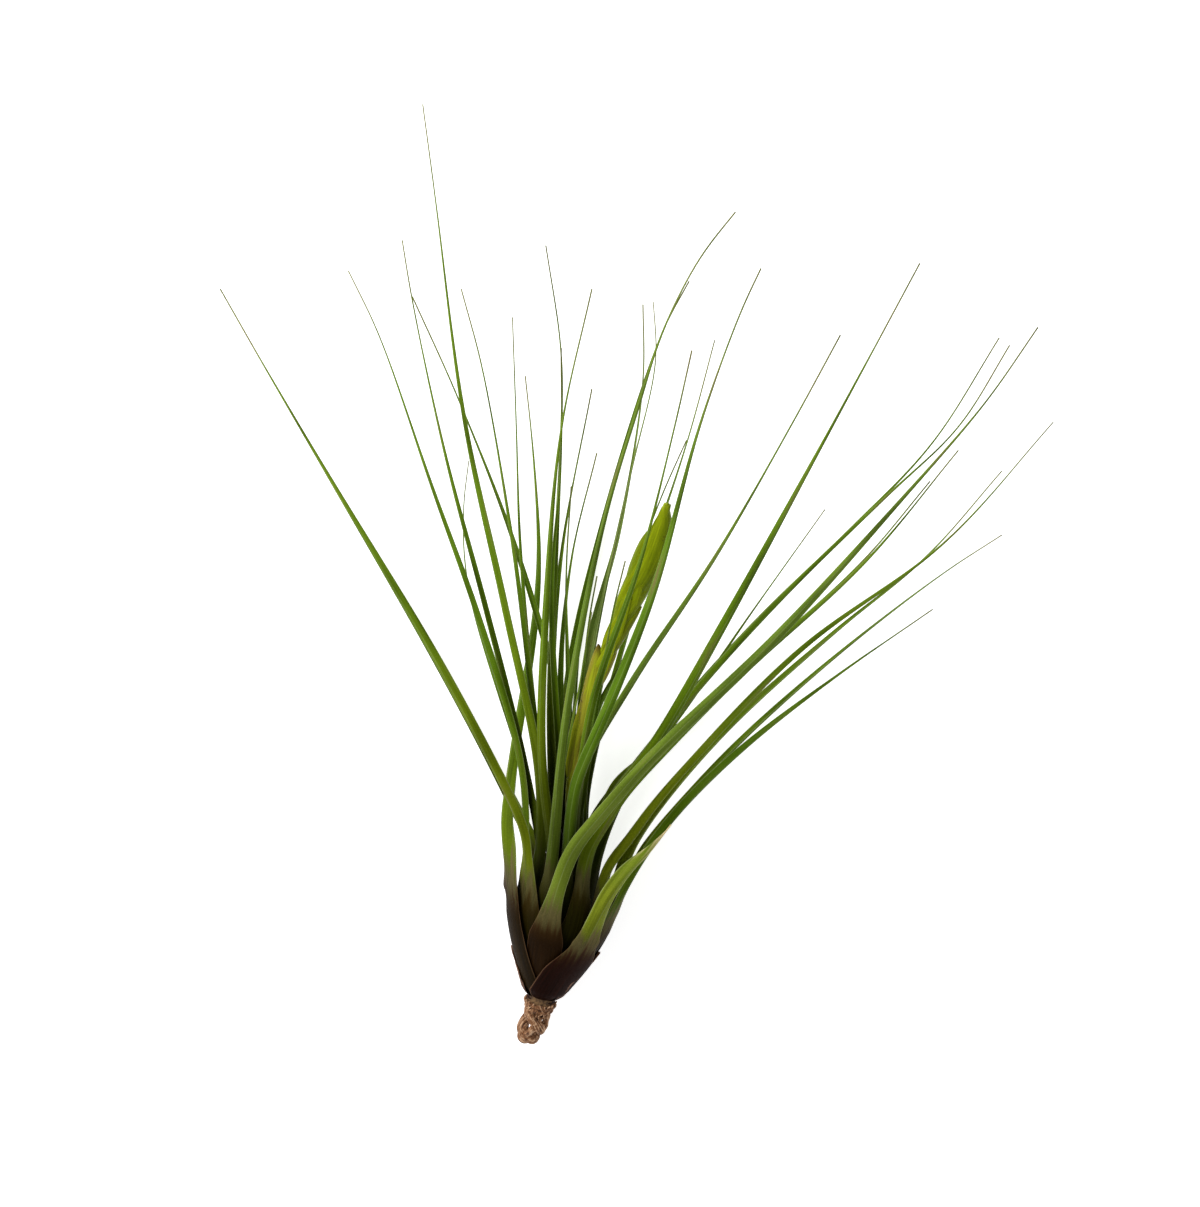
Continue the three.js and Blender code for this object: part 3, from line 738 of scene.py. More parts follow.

# %% [markdown]
# ## The finish of a leaf
#
# From foot to tip, a leaf changes from a nearly black purple-brown sheath through grey olive to
# a yellowish neck, then to full green and at last to a thin tip the colour of hay. Which green,
# and how much grey bloom, differs from leaf to leaf. Forty materials would do it, but each leaf
# carries its own values instead, and one material reads them. The boundary of the dark foot is
# ragged, since the colour runs up the veins; the streaks push it up and down. The margins and the
# fold line are a little paler: the margins partly because the wall is thin there and partly as
# painted light shining through it, the fold line as a painted highlight. Little light reaches the
# necks of the inner leaves, so a painted shade of deep green is mixed in that fades along the
# blade.

# %% Leaf finish
BLADE_GREEN = paint(68, 105, 1)
BLADE_OLIVE = paint(124, 134, 2)
BLADE_BLOOM = paint(98, 113, 58)
BLADE_LIGHT = paint(126, 150, 50)
BLADE_TIP = paint(126, 124, 82)
# Painted shade: the deep green that darkens the necks of the inner leaves.
PAINTED_NECK_SHADE_GREEN = paint(26, 32, 1)
# Pale margins, partly the thin wall's own colour and partly painted light through it, and the
# painted fold highlight.
PALE_RIM_AND_HIGHLIGHT = paint(184, 196, 140)
PAPERY_TIP = paint(214, 194, 146)
SHEATH_TOP = paint(92, 84, 50)
SHEATH_BROWN = paint(51, 31, 14)
SHEATH_FOOT = paint(28, 9, 4)
SHEATH_RIM = paint(112, 82, 60)


def blade_green(tree, streaks, across, share, look, fold):
    """Green, olive by youth, bloom, a lighter end, pale margins partly of painted light, a painted
    highlight on the fold, and a withered or papery tip.
    """
    grey, yellow, dry = look
    young = between(tree, share, 0.0, 0.55, 1.6, 0.4)
    olive = sums(tree, "MULTIPLY", yellow, young, clamp=True)
    green = blended(tree, olive, BLADE_GREEN, BLADE_OLIVE)
    green = blended(tree, grey, green, BLADE_BLOOM)
    green = blended(tree, between(tree, share, 0.25, 1.0, 0.0, 0.4), green, BLADE_LIGHT)
    # The margins: paler, partly as the thin wall's own colour and partly as painted light shining
    # through it.
    rim = between(tree, sums(tree, "ABSOLUTE", across), 0.88, 0.99, 0.0, 0.35)
    green = blended(tree, rim, green, PALE_RIM_AND_HIGHLIGHT)
    # Painted highlight: a pale line along the fold.
    line = between(tree, sums(tree, "ABSOLUTE", fold), 0.02, 0.08, 0.15, 0.0)
    green = blended(tree, line, green, PALE_RIM_AND_HIGHLIGHT)
    withered = plus(tree, streaks["Broad"], 0.3, share)
    green = blended(tree, between(tree, withered, 0.8, 1.0, 0.0, 0.85), green, BLADE_TIP)
    papery = plus(tree, streaks["Fine"], 0.7, share)
    papery = times(tree, between(tree, papery, 0.7, 0.95), dry)
    return blended(tree, papery, green, PAPERY_TIP)


def dark_foot(tree, streaks, across, dark, green):
    """Grey olive, brown and nearly black over the green, as the dark value and the streaks rise."""
    shade = plus(tree, streaks["Fine"], 0.45, dark)
    shade = plus(tree, streaks["Broad"], 0.7, shade)
    skin = blended(tree, between(tree, shade, 0.03, 0.32), green, SHEATH_TOP)
    skin = blended(tree, between(tree, shade, 0.34, 0.68), skin, SHEATH_BROWN)
    skin = blended(tree, between(tree, shade, 0.52, 0.9), skin, SHEATH_FOOT)
    edge = between(tree, sums(tree, "ABSOLUTE", across), 0.94, 0.995, 0.0, 0.6)
    return blended(tree, times(tree, edge, dark), skin, SHEATH_RIM)


def leaf_finish():
    """The foot over the green, painted shade of deep green by the necks, then veins, bands and dots
    as light.
    """
    material, tree, shader = new_material("Leaf", Specular_IOR_Level=0.015)
    across, share, dark = parts_of(tree, "where")
    # deep is the share of painted shade that a leaf gets by its neck.
    fold, deep, beyond = parts_of(tree, "form")
    streaks = streaks_on(tree, place_in(tree))
    dots = from_group(tree, SCALES, {"Place": place_in(tree)})["Dots"]
    skin = blade_green(tree, streaks, across, share, parts_of(tree, "look"), fold)
    skin = dark_foot(tree, streaks, across, dark, skin)
    # Painted shade: deep green over the necks of the inner leaves, fading along the blade.
    painted_neck_shade = times(tree, between(tree, beyond, 6.0, 90.0, 0.9, 0.0), deep)
    skin = blended(tree, painted_neck_shade, skin, PAINTED_NECK_SHADE_GREEN)
    light = plus(tree, streaks["Broad"], 1.5, 1.0)
    veins = times(tree, streaks["Fine"], between(tree, dark, 0.05, 0.4, 0.9, 1.9))
    light = sums(tree, "ADD", veins, light)
    light = plus(tree, dots, 0.22, light)
    rough = plus(tree, dots, 0.12, between(tree, dark, 0.2, 0.8, 0.42, 0.55))
    height = plus(tree, streaks["Fine"], 0.8, dots)
    finished(tree, shader, lit(tree, skin, light), rough, height, 0.25, 0.0002)
    return material


LEAF = leaf_finish()
print("leaf finish with", len(LEAF.node_tree.nodes), "nodes")

# %% [markdown]
# ## The leaves, one by one
#
# A random draw could fill the spiral, but this is one plant, so every leaf has its own row, with
# what sets it apart. The oldest come first. The second of them is the short one whose tip has
# withered. The first, sixth and ninth lie low, under the others.

# %% Values of the leaves
# number, place in the spiral, width, height of the tip and bow; then what is special; the path
# deep sets how much painted shade a leaf gets by its neck.
LEAVES = [
    leaf(1, 0, 3.6, 2, 0, path=[[2, 81], [17, 156], [39, 227], [50, 248]]),
    leaf(2, 1, 6.5, 58, 4, angle=31, neck=33, flare=1.3, shoulder=0.5, reach=8, broad=1.15,
         slim=0.0, dark=31, yellow=2.0, grey=0.3, deep=0.0, dry=1.0,
         path=[[19, 7], [27, 18], [34, 25], [43, 36]]),
    leaf(3, 2, 3.6, 4, -4, angle=-68, turn=30, flare=2.0, broad=1.4, shoulder=0.6, reach=28,
         dark=46, deep=0.3,
         path=[[-22.5, 29], [-23, 38], [-21, 53], [-18.7, 68], [-10.8, 116], [-9, 143], [-11, 182],
               [-14, 211]]),
    leaf(4, 3, 3.9, 4, 0, flare=2.2, yellow=0.45,
         path=[[29, 28.2], [60.2, 67.8], [107, 111], [142, 140], [172, 174]]),
    leaf(5, 4, 4.1, 75, 42, angle=-12, full=0.68, shoulder=0.7, reach=9, dark=40, grey=0.4,
         yellow=0.35, deep=0.2, ridge=-0.25,
         path=[[3, 24], [8, 31], [14, 38], [35.1, 61.9], [83, 108], [133, 163], [165, 200],
               [186, 230]]),
    leaf(6, 5, 3.6, 2, 0, path=[[-19, 44], [-47.5, 97.8], [-85.5, 162.8], [-117, 217]]),
    leaf(7, 6, 4.1, 44, 12, angle=60, turn=-25, dark=38, yellow=0.15,
         path=[[25, 10], [34, 25], [48, 43], [73, 67], [109, 95], [145, 120]]),
    leaf(8, 7, 4.1, 70, 25, angle=-47, neck=50, turn=30, broad=1.0, shoulder=0.6, dark=46,
         yellow=0.5,
         path=[[-15, 32], [-24, 53], [-47.5, 97.8], [-85.5, 162.8], [-117, 217], [-133, 245]]),
    leaf(9, 8, 3.6, 2, 0, path=[[9, 26], [21, 49], [71, 95], [117, 138], [144, 170]]),
    leaf(10, 9, 4.1, 60, 25, dark=55, yellow=0.35,
         path=[[11, 26], [17, 35], [23, 45], [42, 66], [71, 95], [117.7, 137.3], [155, 182]]),
    leaf(11, 11, 3.9, 45, 6, yellow=0.4, deep=0.2,
         path=[[33, 26], [44, 40], [69, 67], [109, 103], [149, 134], [172, 149]]),
    leaf(12, 12, 4.1, 120, 25, angle=-22, broad=0.9, slim=0.42, dark=52, grey=0.35, yellow=0.25,
         path=[[-3, 34], [2, 81], [17, 156], [31, 202], [39, 227], [54, 257], [68, 275]]),
    leaf(13, 13, 2.7, 25, 1, path=[[2, 69], [-16, 139], [-40, 202], [-58, 242]]),
    leaf(14, 14, 4.1, 60, 20, flare=1.6, yellow=0.6, deep=0.3,
         path=[[17, 15], [28, 30], [35.3, 40.7], [50.3, 58.7], [94, 104], [149.2, 145.5],
               [192, 193]]),
    leaf(15, 15, 3.3, 60, 8, turn=35, broad=1.3, flare=1.5, yellow=0.2, deep=0.6,
         path=[[-16, 57], [-32, 114], [-50, 166], [-71, 227], [-83, 252]]),
    leaf(16, 17, 3.9, 110, 30, flare=1.3, broad=1.0, dark=58, grey=0.15, yellow=0.1, ridge=0.35,
         path=[[4, 42], [6, 53], [11, 65], [18, 81], [36.7, 129], [54.2, 192], [70.5, 237],
               [78, 253]]),
    leaf(17, 20, 3.9, 80, 3, broad=1.2, flare=1.7, yellow=0.4,
         path=[[-9.6, 55], [-22.6, 120], [-37.8, 192], [-49, 280], [-54, 317]]),
    leaf(18, 21, 2.7, 45, -2, path=[[0, 85], [4, 139], [14, 181]]),
    leaf(19, 22, 3.9, 90, 20, angle=16, broad=1.1, grey=0.1,
         path=[[15, 36], [37.9, 68.5], [61.9, 110.5], [98, 177], [140, 255]]),
    leaf(20, 25, 3.3, 95, 0, yellow=0.5, path=[[-8, 61], [-6, 124], [0, 190], [12, 245]]),
    leaf(21, 26, 3, 35, 0, yellow=0.5, path=[[-4, 85], [0, 141], [12, 206]]),
    leaf(22, 27, 3.3, 45, -6, angle=38,
         path=[[22, 42], [42.5, 75.5], [76, 114], [115, 153], [145, 185], [171, 226]]),
    leaf(23, 28, 3.3, 70, -3, turn=30, flare=1.8,
         path=[[-15.8, 63], [-29.8, 120], [-45, 179], [-58.5, 243], [-62, 264]]),
    leaf(24, 29, 3.3, 30, 0, grey=0.6, path=[[7, 46], [11, 104], [23, 151], [32, 209], [32, 239]]),
    leaf(25, 30, 3.3, 120, 15, broad=0.85, grey=0.4,
         path=[[7.3, 53], [27, 90], [60, 140], [91, 194], [109, 227]]),
    leaf(26, 31, 3.3, 60, 0, yellow=0.5, path=[[-5, 85], [-2, 151], [0, 190], [0, 221], [-6, 262]]),
    leaf(27, 32, 2.7, 62, 0, angle=62, flare=1.0, grey=0.25, yellow=0.5, deep=0.35,
         path=[[19.5, 50], [37, 66], [50, 83], [74.5, 119], [103, 159]]),
    leaf(28, 33, 2.7, 80, -5, path=[[-11.2, 81], [-19, 145], [-30.5, 213], [-39, 245]]),
    leaf(29, 34, 2.2, 50, -4, path=[[2, 131], [4, 168]]),
    leaf(30, 35, 3, 70, 14, angle=28,
         path=[[17, 40], [48, 82], [85, 123], [128, 165], [155, 191], [175, 223]]),
    leaf(31, 36, 2.2, 40, -3, path=[[-36, 128], [-38, 159], [-36, 178]]),
    leaf(32, 37, 3, 40, 0, path=[[10.4, 46], [29.8, 124], [50, 188], [60, 225]]),
    leaf(33, 38, 2.7, 130, 4, path=[[11.5, 81], [31, 139], [44, 190], [51, 221]]),
    leaf(34, 39, 2.7, 75, 0, path=[[-4, 124], [0, 178], [0, 222]]),
    leaf(35, 40, 2.5, 55, -3, angle=50, path=[[10, 53], [20, 108], [38, 161], [49, 186]]),
    leaf(36, 41, 2.7, 60, -5, path=[[-9.4, 68], [-16, 143], [-17.4, 190], [-19, 234]]),
    leaf(37, 43, 2.5, 60, -1, blunt=0.75, yellow=0.1,
         path=[[8.6, 50], [14.6, 81], [25, 100], [30.5, 112]]),
    leaf(38, 44, 2.2, 60, -5, path=[[6.3, 98], [9.3, 124], [15.3, 148]]),
    leaf(39, 45, 2.7, 45, 5, grey=0.8, path=[[6, 50], [13, 104], [27, 172], [37, 217], [36, 240]]),
    leaf(40, 46, 2.2, 95, 0, path=[[9, 52], [15, 89], [20, 118], [25, 139]]),
    leaf(41, 47, 2.2, 40, -3, path=[[5, 60], [8, 89], [11, 116], [14, 133]]),
    leaf(42, 49, 2.2, 65, 1, path=[[-1, 46], [3, 70], [7, 89], [12, 119]]),
]
print(len(LEAVES), "leaves with", sum(len(row["path"]) for row in LEAVES), "points in their paths")

# %% Make the leaves
made_leaves = []
for values in LEAVES:
    name = f"leaf_{values['number']:02d}"
    made_leaves.append(new_piece(name.capitalize(), [leaf_grid(values)], [name], LEAF))
print("leaves made, with", sum(len(made.data.vertices) for made in made_leaves), "points")

# %% [markdown]
# ## The flower stalk and the flower head
#
# The spike is young: a slim stalk wrapped in pointed bracts, and a flat head of broader ones that
# overlap in two rows, left and right, like a plait. One carved spindle would give the outline, but
# not the rims that catch the light. A bract is a folded leaf: its keel stands at the edge of the
# spike, and both its flanks wrap round the front and the back. So a bract is again a function of
# two parameters: from foot to point along the keel, and round the keel from one margin to the
# other, on a flat half oval that closes towards the point.

# %% Paths of stalk and head
STALK_FOOT = [37.35, 58.0]  # two heights on the stem's axis, the first just above its top
STALK_POINTS = [[3.5, 46, 33], [6, 66, 42], [9.5, 81, 49], [15, 97, 56.5], [21, 110, 63]]
HEAD_POINTS = [[29, 128, 74], [36.5, 145, 84], [41.5, 161, 92]]
HEAD_SEAT = 0.35  # gap between the stalk's end and the head's core

stalk_start = placed(np.array(STALK_FOOT), 0, 0)
STALK_LINE = spline(np.vstack([stalk_start, seen(*np.transpose(STALK_POINTS))]))
head_start = STALK_LINE[-1] + tangents(STALK_LINE)[-1] * HEAD_SEAT
HEAD_LINE = spline(np.vstack([head_start, seen(*np.transpose(HEAD_POINTS))]))
print("stalk and head in mm:", run_of(STALK_LINE)[-1].round(), run_of(HEAD_LINE)[-1].round())

# %% A rod along a path


def rod(line, rows, size, across, front=None, seed=0.0, tone=0.0, bulge=0.0):
    """line + side times half width cos + up times half depth sin, with low bumps along it."""
    share = np.linspace(0, 1, rows)
    middle = at_shares(line, share)
    ahead = tangents(middle)
    side = across_to(np.cross(ahead, FRONT), ahead)
    up = np.cross(side, ahead)
    turn = np.linspace(0, 2 * np.pi, size, endpoint=False)
    swell = 1 + bulge * np.sin(7 * share[:, None] * np.pi + 2 * np.sin(turn + seed))
    wide = (across(share)[:, None] * swell * np.cos(turn))[..., None]
    deep = ((front or across)(share)[:, None] * swell * np.sin(turn))[..., None]
    points = middle[:, None] + side[:, None] * wide + up[:, None] * deep
    run = (share * run_of(middle)[-1])[:, None]
    girth = across(share)[:, None] * turn
    return {
        "points": points,
        "place": stacked(girth, run, seed),
        "where": stacked(np.sin(turn / 2), share[:, None], tone),
    }


print("a rod's grid:", rod(STALK_LINE, 60, 16, np.ones_like)["points"].shape)

# %% A bract
BRACT_COLUMNS = 15
BRACT_ROWS = 44
BRACT_WALL = 0.3
BRACT_RING, BRACT_OUTSIDE = closed_ring(BRACT_COLUMNS)
FOOT_GAP = 0.6  # of a bract's keel from the line it stands on
POINT_CROWDING = 1.8  # above 1, the rows lie closer near the point
KEEL_SHARES = (0.45, 0.85)  # where the keel bulges, the second time by KEEL_EASE of the first
KEEL_EASE = 0.6
LEAST_HALF = (0.1, 0.15)  # width and depth that are left at foot and point
FLANK_TURN = 1.9  # how far round a flank goes, in radians


def bract(foot, point, keel, wide, deep, bulge, seed, tone):
    """keel line - keel times width |ring|**1.35 + side times depth sin(ring), wall outwards."""
    ring = BRACT_RING
    middle = mix(foot, point, KEEL_SHARES[0]) + keel * bulge
    near = mix(foot, point, KEEL_SHARES[1]) + keel * bulge * KEEL_EASE
    share = 1 - np.linspace(1, 0, BRACT_ROWS) ** POINT_CROWDING
    line = at_shares(spline([foot, middle, near, point]), share)
    ahead = tangents(line)
    out = across_to(np.broadcast_to(keel, ahead.shape), ahead)
    side = np.cross(ahead, out)
    swell = np.maximum(np.sin(np.pi * mix(0.04, 1, share**0.85)), 0) ** 0.5
    wall = BRACT_WALL * BRACT_OUTSIDE * (1 - 0.6 * ring**4)
    flank = np.sign(ring) * np.sin(np.abs(ring) ** 0.85 * FLANK_TURN)
    depth = (deep * swell + LEAST_HALF[1])[:, None] * flank
    inward = (wide * swell + LEAST_HALF[0])[:, None] * np.abs(ring) ** 1.35
    thick = wall[None, :] * (0.4 + 0.6 * swell[:, None])
    points = (
        line[:, None]
        + side[:, None] * (depth + thick * np.sign(ring))[..., None]
        - out[:, None] * (inward - thick)[..., None]
    )
    return {
        "points": points,
        "place": stacked(ring * (wide + deep), run_of(line)[:, None], seed),
        "where": stacked(ring, share[:, None], tone),
    }


def bract_on(line, at, tip, side, *shape):
    """A bract from a share of a line to the point that shows at a plan place and height."""
    foot, beyond = at_shares(line, np.array([at, at + 0.02]))
    keel = across_to(RIGHT * side, unit(beyond - foot))
    return bract(foot + keel * FOOT_GAP, seen(*tip), keel, *shape)


trial = bract_on(STALK_LINE, 0.5, (14, 98, 55), 1, 5.2, 2.5, 0.9, 0.0, 0.0)
print("a bract's grid:", trial["points"].shape)

# %% [markdown]
# ## The finish of the spike
#
# Bracts are thinner than leaves and let some light through: yellow green on the head, and more
# and more straw-coloured down the stalk, with brown points. Light through a thin wall could be
# worked out in full, but a paler colour towards the margins looks the same here and costs nothing.
# Veins run from foot to point. A few brown marks lie where a bract was bruised.

# %% Bract finish
BRACT_GREEN = paint(98, 114, 1)
BRACT_LIGHT = paint(150, 164, 16)
BRACT_STRAW = paint(140, 128, 44)
BRACT_BROWN = paint(76, 52, 20)


def bract_finish():
    """Green to straw by tone, paler margins, veins as light, brown marks and a brown point."""
    material, tree, shader = new_material("Bract", Specular_IOR_Level=0.06)
    place = place_in(tree)
    across, share, tone = parts_of(tree, "where")
    streaks = streaks_on(tree, place, 1.9, 0.35, 0.06)
    dots = from_group(tree, SCALES, {"Place": place, "Dot": 0.3})["Dots"]
    edge = sums(tree, "ABSOLUTE", across)
    skin = blended(tree, between(tree, tone, 0.0, 0.8), BRACT_GREEN, BRACT_STRAW)
    bright = plus(tree, streaks["Broad"], 1.6, edge)
    skin = blended(tree, between(tree, bright, 0.1, 1.1, 0.1, 0.75), skin, BRACT_LIGHT)
    light = plus(tree, streaks["Fine"], 1.3, 1.0)
    light = plus(tree, dots, 0.06, light)
    skin = lit(tree, skin, light)
    spot = node(tree, "TexNoise", {"Vector": place, "Scale": 0.28, "Detail": 3.0}).outputs[0]
    marks = between(tree, spot, 0.66, 0.74, 0.0, 0.8)
    skin = blended(tree, marks, skin, BRACT_BROWN)
    point = between(tree, plus(tree, streaks["Fine"], 0.3, share), 0.88, 1.0)
    point = times(tree, point, between(tree, tone, 0.15, 0.6, 0.0, 0.9))
    skin = blended(tree, point, skin, BRACT_BROWN)
    height = plus(tree, streaks["Fine"], 1.5, dots)
    rough = plus(tree, dots, 0.1, 0.4)
    finished(tree, shader, skin, rough, height, 0.3, 0.0002)
    return material


BRACT = bract_finish()
print("bract finish with", len(BRACT.node_tree.nodes), "nodes")

# %% The stalk and its bracts
# each bract: line, share of it, point as x, y and height, side, width, depth, bulge, seed, tone
STALK_BRACTS = [
    (STALK_LINE, 0.36, (6.5, 79, 45), -1, 5.2, 2.5, 0.9, 3.0, 0.9),
    (STALK_LINE, 0.46, (12.5, 92, 51), 1, 5.2, 2.5, 0.9, 5.0, 0.75),
    (STALK_LINE, 0.62, (14.4, 106.5, 61), -1, 5.4, 2.5, 1.6, 7.0, 0.7),
    (STALK_LINE, 0.74, (22.2, 105.6, 61), 1, 5.2, 2.4, 1.4, 9.0, 0.75),
]


def stalk_radius(share):
    """2.1 mixed with 1.5 by share."""
    return mix(2.1, 1.5, share)


stalk_parts = [rod(STALK_LINE, 60, 16, stalk_radius, seed=1.0, tone=0.9, bulge=0.03)]
stalk_parts += [bract_on(*values) for values in STALK_BRACTS]
new_piece("Flower_stalk", stalk_parts, ["flower_stalk"], BRACT)
print("flower stalk of", len(stalk_parts), "parts")

# %% The head and its bracts
HEAD_BRACTS = [
    (STALK_LINE, 0.78, (23.4, 119, 69), -1, 4.4, 2.3, 1.2, 11.0, 0.35),
    (STALK_LINE, 0.84, (31.5, 121, 70.5), 1, 4.8, 2.4, 0.8, 13.0, 0.25),
    (STALK_LINE, 0.95, (28.0, 137, 79), -1, 5.4, 2.9, 1.8, 15.0, 0.1),
    (STALK_LINE, 0.92, (40.2, 138.6, 79.5), 1, 6.2, 3.2, 1.0, 17.0, 0.05),
    (HEAD_LINE, 0.16, (33.4, 150.4, 87), -1, 6.5, 2.6, 2.4, 19.0, 0.04),
    (HEAD_LINE, 0.16, (41.8, 161.4, 92), 1, 9.6, 3.5, 6.2, 21.0, 0.0),
]


def core_half(middle):
    """1.4 mixed with the middle's value by sin(half a turn of share to the power 0.8)."""
    return lambda share: mix(1.4, middle, np.sin(np.pi * share**0.8))


head_parts = [rod(HEAD_LINE, 40, 16, core_half(3.4), core_half(2.2), seed=2.0, tone=0.1)]
head_parts += [bract_on(*values) for values in HEAD_BRACTS]
new_piece("Flower_head", head_parts, ["flower_head"], BRACT)
print("flower head of", len(head_parts), "parts")

# %% [markdown]
# ## The dry remnants of old sheaths
#
# Two old leaves have withered away down to a scrap of their sheath. What is left is papery, thin
# and curled, with a frayed point. Cloth that is let fall could give such a scrap, but it would
# land where it likes. So it is the sheath's surface again, one layer outside the bulb, with a
# ragged margin: waves cut into the half width, and more so towards the point.

# %% The shape of a remnant
REMNANT_ROWS = 44
REMNANT_SLOT = 1.6  # its layer, between those of the oldest sheaths
REMNANT_GAP = 0.5
REMNANT_WALL = 0.3
REMNANT_HALF = (9, 0.6)  # half width at the foot and at the point
REMNANT_CLASP = 42  # degrees to each side
REMNANTS = [(82, 25, -1.6, 1.0), (-92, 18, -0.8, 4.0)]  # angle, top, flare and seed


def remnant(angle, top, flare, seed):
    """placed(height, bulb radius + gap + flare times share cubed, angle + across times spread)."""
    share = np.linspace(0, 1, REMNANT_ROWS)
    along = mix(-1, top, share**1.4)
    outer = layer_radius(REMNANT_SLOT, along) + REMNANT_GAP
    radius = mix(stem_radius(0) + REMNANT_GAP, outer, opened_from_foot(along + 1))
    radius += flare * share**3
    teeth = 0.5 * np.sin(23 * share + seed) + 0.3 * np.sin(61 * share + 2 * seed)
    half = mix(*REMNANT_HALF, share**3) * (1 + 0.25 * share * teeth)
    spread = np.minimum(REMNANT_CLASP, np.degrees(half / radius))
    share, half = share[:, None], half[:, None]
    curl = share**2 * RING**2
    wall = REMNANT_WALL * OUTSIDE * (1 - 0.6 * RING**4)
    ripple = 0.25 * share * np.sin(9 * RING + 14 * share + seed)
    turns = angle + spread[:, None] * RING
    points = placed(along[:, None], radius[:, None] + wall + curl + ripple, turns)
    points[..., 2] = np.maximum(points[..., 2], REMNANT_WALL * (1 - OUTSIDE))
    return {
        "points": points,
        "place": stacked(half * RING, along[:, None], seed),
        "where": stacked(RING, share, 0.0),
    }


scraps = [remnant(*values) for values in REMNANTS]
print("scraps:", [scrap["points"].shape for scrap in scraps])

# %% Papery finish, and the remnants
PAPERY_DARK = paint(44, 22, 14)
PAPERY_PALE = paint(128, 92, 70)


def papery_finish():
    """Dark to pale from foot to point, pushed up and down by the veins, with bands as light."""
    material, tree, shader = new_material("Papery sheath", Specular_IOR_Level=0.1)
    place = place_in(tree)
    share = parts_of(tree, "where")[1]
    streaks = streaks_on(tree, place, 2.2, 0.7, 0.08)
    value = plus(tree, streaks["Fine"], 1.1, share)
    skin = blended(tree, between(tree, value, 0.1, 0.95), PAPERY_DARK, PAPERY_PALE)
    light = plus(tree, streaks["Broad"], 1.4, 1.0)
    rough = plus(tree, streaks["Fine"], 0.3, 0.7)
    finished(tree, shader, lit(tree, skin, light), rough, streaks["Fine"], 0.5, 0.0004)
    return material


PAPER = papery_finish()
for number, scrap in enumerate(scraps, 1):
    new_piece(f"Dry_sheath_{number}", [scrap], [f"dry_sheath_{number}"], PAPER)
print("papery remnants made:", len(scraps))

# %% [markdown]
# ## The roots
#
# This plant's roots only hold it to its branch. What is left below the stem is a short woody foot
# of matted fibres, and a few thick, tough loops that curl round each other. Hair curves would give
# hundreds of strands, but only a few can be told apart. So each root is a rod whose radius swells
# and shrinks a little, and thin fibres cling to the foot.

# %% The shapes of the roots
# each root: radius, and a path by height on the stem, distance from its axis and angle
ROOTS = [
    (1.9, [[-5, 1, -90], [-6, 4, -60], [-8, 6, -20], [-12, 5, 30], [-14, 2, 90]]),
    (2.2, [[-6, 0, 0], [-9, 3, -110], [-14, 5, -60], [-18, 3, 10], [-15, 2, 120]]),
    (1.6, [[-5, 1, 180], [-9, 4, -150], [-14, 4, -120], [-19, 4, -80], [-20, 1, 0]]),
    (1.5, [[-5, 1, 90], [-6, 4, 60], [-11, 4, 70], [-16, 3, 40]]),
    (1.3, [[-5, 2, 0], [-9, 4, 20], [-13, 6, -10], [-17, 5, -40]]),
]
FOOT_SPAN = (-2.2, -9.5)  # heights on the stem
FOOT_RADII = (6.2, 4.2)
FIBRE_ANGLES = range(0, 360, 20)
FIBRE_POINTS = 7
FIBRE_RADIUS = 0.34


def root(radius, places, seed):
    """A rod through stem coordinates: radius times a low wave, rounded off at its end."""

    def half(share):
        """radius times (1 + 0.14 sin(11 share + seed)) times the root of (1 - 0.9 at the end)."""
        wave = 1 + 0.14 * np.sin(11 * share + seed)
        return radius * wave * np.sqrt(1 - 0.9 * ease(share, 0.86, 1))

    return rod(spline(placed(*np.transpose(places))), 46, 14, half, None, seed, 0.5, 0.05)


def fibre(angle, seed):
    """A thin strand down the foot: it waves in and out, and turns by 55 degrees times cos(seed)."""

    def half(share):
        """The fibre's radius times the root of 1 - share."""
        return FIBRE_RADIUS * np.sqrt(np.maximum(1 - share, 0.05))

    steps = np.linspace(0, 1, FIBRE_POINTS)
    radius = mix(6.3, 4.4, steps) + 0.35 * np.sin(np.arange(FIBRE_POINTS) * 1.9 + seed)
    turns = angle + np.linspace(0, 55, FIBRE_POINTS) * np.cos(seed)
    line = spline(placed(np.linspace(-1.5, -9.5, FIBRE_POINTS), radius, turns), 8)
    return rod(line, 26, 8, half, None, seed, 1.0)


def foot_half(share):
    """The foot's radii mixed by share, times a low wave, rounded off at the end."""
    wave = 1 + 0.05 * np.sin(19 * share)
    return mix(*FOOT_RADII, share) * wave * np.sqrt(1 - 0.85 * ease(share, 0.8, 1))


foot_line = placed(np.linspace(*FOOT_SPAN, 12), 0, 0)
root_parts = [rod(foot_line, 30, 36, foot_half, None, 3.0, 0.2, 0.06)]
root_parts += [root(radius, places, 2.0 * i) for i, (radius, places) in enumerate(ROOTS)]
root_parts += [fibre(angle, 1.3 * i) for i, angle in enumerate(FIBRE_ANGLES)]
print("roots of", len(root_parts), "strands")

# %% Root finish, and the roots
ROOT_DARK = paint(58, 34, 18)
ROOT_BROWN = paint(128, 84, 50)
ROOT_PALE = paint(196, 158, 124)


